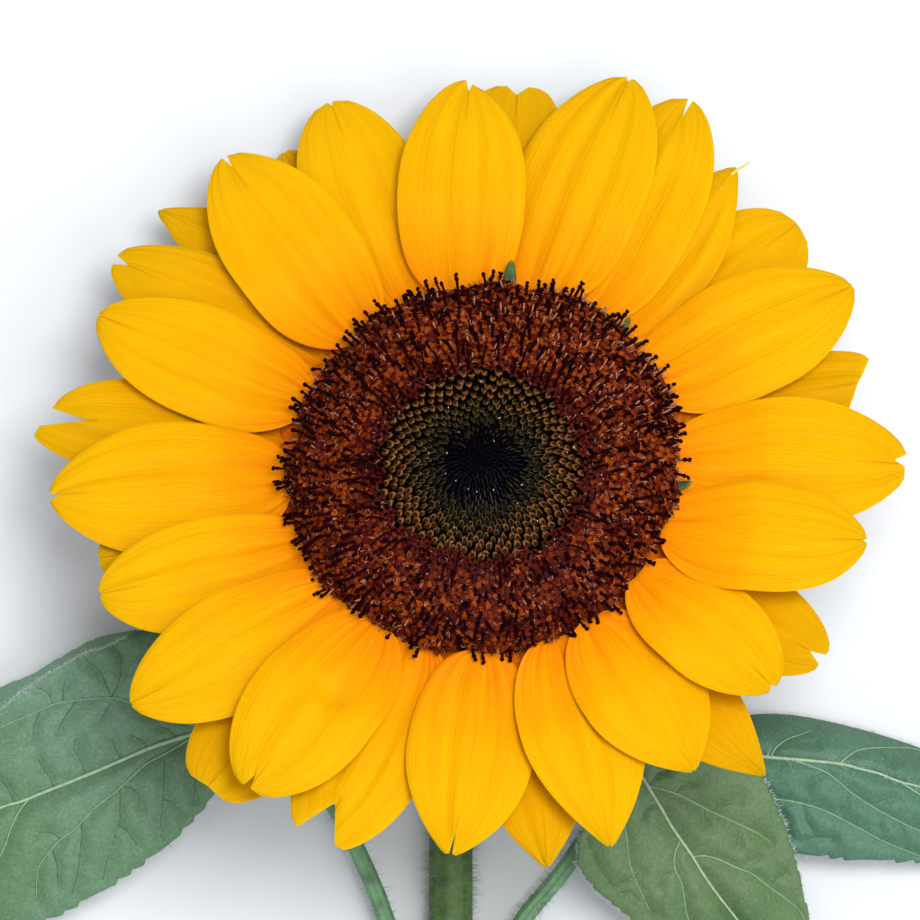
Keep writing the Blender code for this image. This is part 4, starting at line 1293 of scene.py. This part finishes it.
def make_involucre(green, down):
    """Cup under the disc and the pointed green bracts that spread back from it."""
    sides, steps = 180, 60
    fine = np.linspace(0, 7, steps)
    depth = np.interp(fine, np.arange(8), [0.3, 3.0, 6.5, 10.5, 15.5, 20.0, 22.5, 24.0])
    radius = np.interp(fine, np.arange(8), [35.0, 35.6, 36.4, 35.0, 27.0, 14.0, 9.0, 6.6])
    a = circle(sides)
    ribs = 1.0 + 0.008 * np.cos(30 * a)
    cup = from_head(clock(radius[:, None] * ribs, a, -depth[:, None])).reshape(-1, 3)
    heap = Heap()
    heap.add(cup, [grid_quads(steps, sides, closed=True)[:, ::-1]], [0])
    t, s = blade_grid(30, 13)
    roots, ways = [], []
    for number in range(BRACTS):
        inner = number % 2 == 1
        turn = 2 * math.pi * (number + 1) / BRACTS + rng.normal(0, 0.02)
        far = (54.0 if inner else 61.0) + rng.uniform(-2.5, 0.0)
        start_depth = 7.6 if inner else 9.0 + 1.2 * (number // 2 % 2)
        tip_depth = 13.0 if inner else 19.4
        reach = 33.0 + (far - 33.0) * t
        deep = start_depth + (tip_depth - start_depth) * t ** 1.6
        half = 8.5 * np.maximum(np.sin(math.pi * (0.16 + 0.84 * t)), 0.0) ** 0.8 + 0.25
        hollow = s * s * np.sin(math.pi * t) - 0.25 * np.exp(-((s / 0.1) ** 2)) * (1 - t)
        wave = 0.3 * s * np.sin(7 * t + number)
        local = np.stack([half * s, reach, hollow + wave - deep], axis=-1)
        surface = from_head(swung(local, turn))
        surface[..., 2] = np.maximum(surface[..., 2], 0.6)
        points, quads, _, _ = lens(surface, 0.7)
        heap.add(points, [quads], [0])
        for edge, beside in ((0, 1), (-1, -2)):
            roots.append(surface[2:, edge])
            ways.append(surface[2:, edge] - surface[2:, beside])
    heap.make("involucre_bracts", [green], "involucre", "involucre")
    roots = np.repeat(np.concatenate(roots), 2, axis=0)
    ways = unit(np.repeat(np.concatenate(ways), 2, axis=0)) + rng.normal(0, 0.35, roots.shape)
    lengths = rng.uniform(0.5, 1.6, len(roots))
    hairs("involucre_hairs", "involucre", roots, unit(ways), lengths, 0.05, 0.15, down)


def make_bract_tips(green, tip):
    """Green tips of inner bracts that show through gaps between the petals at the disc's edge."""
    heap = Heap()
    rows, columns = 15, 7
    t, s = blade_grid(rows, columns)
    shade = np.tile((np.arange(rows - 1) > 10).astype(int).repeat(columns - 1), 2)
    for bearing, radius, top, wide in BRACT_TIPS:
        half = wide * np.sqrt(np.maximum(1.0 - t ** 1.6, 0.0)) + 0.12
        rise = 1.0 + (top - 1.0) * t ** 0.8 - 0.3 * s * s
        local = np.stack([half * s, radius - 3.5 + 4.6 * t, rise], axis=-1)
        points, quads, _, _ = lens(from_head(swung(local, math.radians(bearing))), 0.45)
        heap.add(points, [quads], [shade])
    heap.make("involucre_tips", [green, tip], "involucre")


def make_stage():
    """Pale floor, soft studio light and the camera that looks straight down."""
    scene = bpy.context.scene
    floor_mesh = bpy.data.meshes.new("floor")
    half = FLOOR_WIDTH / 2
    corners = [(-half, -half, 0.0), (half, -half, 0.0), (half, half, 0.0), (-half, half, 0.0)]
    floor_mesh.from_pydata(corners, [], [(0, 1, 2, 3)])
    floor = bpy.data.objects.new("floor", floor_mesh)
    scene.collection.objects.link(floor)
    pale = Finish("floor")
    shader = pale.tree.nodes["Principled BSDF"]
    pale.fill(shader.inputs["Base Color"], (0.62, 0.64, 0.66, 1.0))
    pale.fill(shader.inputs["Roughness"], 0.9)
    floor_mesh.materials.append(pale.material)

    world = bpy.data.worlds.new("studio")
    world.use_nodes = True
    sky = world.node_tree.nodes["Background"]
    sky.inputs["Color"].default_value = (0.9, 0.95, 1.0, 1.0)
    sky.inputs["Strength"].default_value = 0.76
    scene.world = world
    for name, place, size, power in LIGHTS:
        light = bpy.data.lights.new(name, "AREA")
        light.size = size
        light.energy = power
        lamp = bpy.data.objects.new(name, light)
        lamp.location = place
        lamp.rotation_mode = "QUATERNION"
        aim = Vector((0.0, 0.0, 0.03)) - Vector(place)
        lamp.rotation_quaternion = aim.to_track_quat("-Z", "Y")
        scene.collection.objects.link(lamp)
    lens_data = bpy.data.cameras.new("camera")
    lens_data.sensor_width = SENSOR
    lens_data.lens = SENSOR * CAMERA_HEIGHT / FRAME_WIDTH
    lens_data.clip_end = 10.0
    camera = bpy.data.objects.new("camera", lens_data)
    camera.location = (HEAD + [*CAMERA_ASIDE, CAMERA_HEIGHT]) * MM
    scene.collection.objects.link(camera)
    scene.camera = camera
    scene.view_settings.view_transform = "Standard"


# The second petal finish is the gold darkened to 0.93: painted shade for the petals that aren't lit.
make_petals(petal_material("petal gold", 1.0), petal_material("petal gold in shade", 0.93))
make_thread(plain_material("dry petal thread", (0.70, 0.46, 0.10), 0.6, 0.1, 0.15))
make_claws()
make_disc()
down_finish = plain_material("leaf down", (0.62, 0.68, 0.66), 0.5, 0.4, 0.1)
hair_finish = plain_material("stalk hair", (0.26, 0.34, 0.25), 0.5, 0.3, 0.15)
green_finish = plain_material("stem green", (0.055, 0.114, 0.024), 0.55, 0.35, 0.3, 350.0)
stalk_finish = plain_material("stalk green", (0.108, 0.230, 0.110), 0.55, 0.35, 0.3, 350.0)
pith_finish = plain_material("pith", (0.55, 0.6, 0.4), 0.7, 0.2, 0.12)
bract_finish = plain_material("bract green", (0.075, 0.145, 0.045), 0.6, 0.3, 0.3, 350.0)
tip_finish = plain_material("bract tip", (0.10, 0.12, 0.025), 0.6, 0.3, 0.3, 600.0)
make_stalks(green_finish, stalk_finish, hair_finish, pith_finish)
make_involucre(bract_finish, hair_finish)
make_bract_tips(bract_finish, tip_finish)
leaf_finishes = [
    leaf_material("leaf blade left", (0.085, 0.166, 0.080), (0.115, 0.208, 0.141)),
    # The right leaves' greens are darker than the left leaf's: partly their own tone, partly painted
    # shade.
    leaf_material("leaf blade right front", (0.047, 0.098, 0.030), (0.101, 0.165, 0.074)),
    leaf_material("leaf blade right back", (0.040, 0.104, 0.052), (0.064, 0.145, 0.097)),
]
vein_finishes = [
    plain_material("leaf midrib", (0.28, 0.38, 0.25), 0.5, 0.3, 0.15),
    plain_material("leaf side veins", (0.18, 0.29, 0.17), 0.5, 0.3, 0.15),
    # Pale blue green band along the fold's crest: painted reflection of the sky.
    plain_material("leaf fold sky reflection", (0.15, 0.24, 0.19), 0.5, 0.3, 0.25),
    # Small veins lie sunk in the blade in a darker green: painted shade along the furrows.
    plain_material("leaf furrow shade", (0.072, 0.135, 0.068), 0.6, 0.2, 0.2),
]
for one, blade in zip(LEAVES, leaf_finishes):
    make_leaf(one, blade, vein_finishes, down_finish)
make_stage()
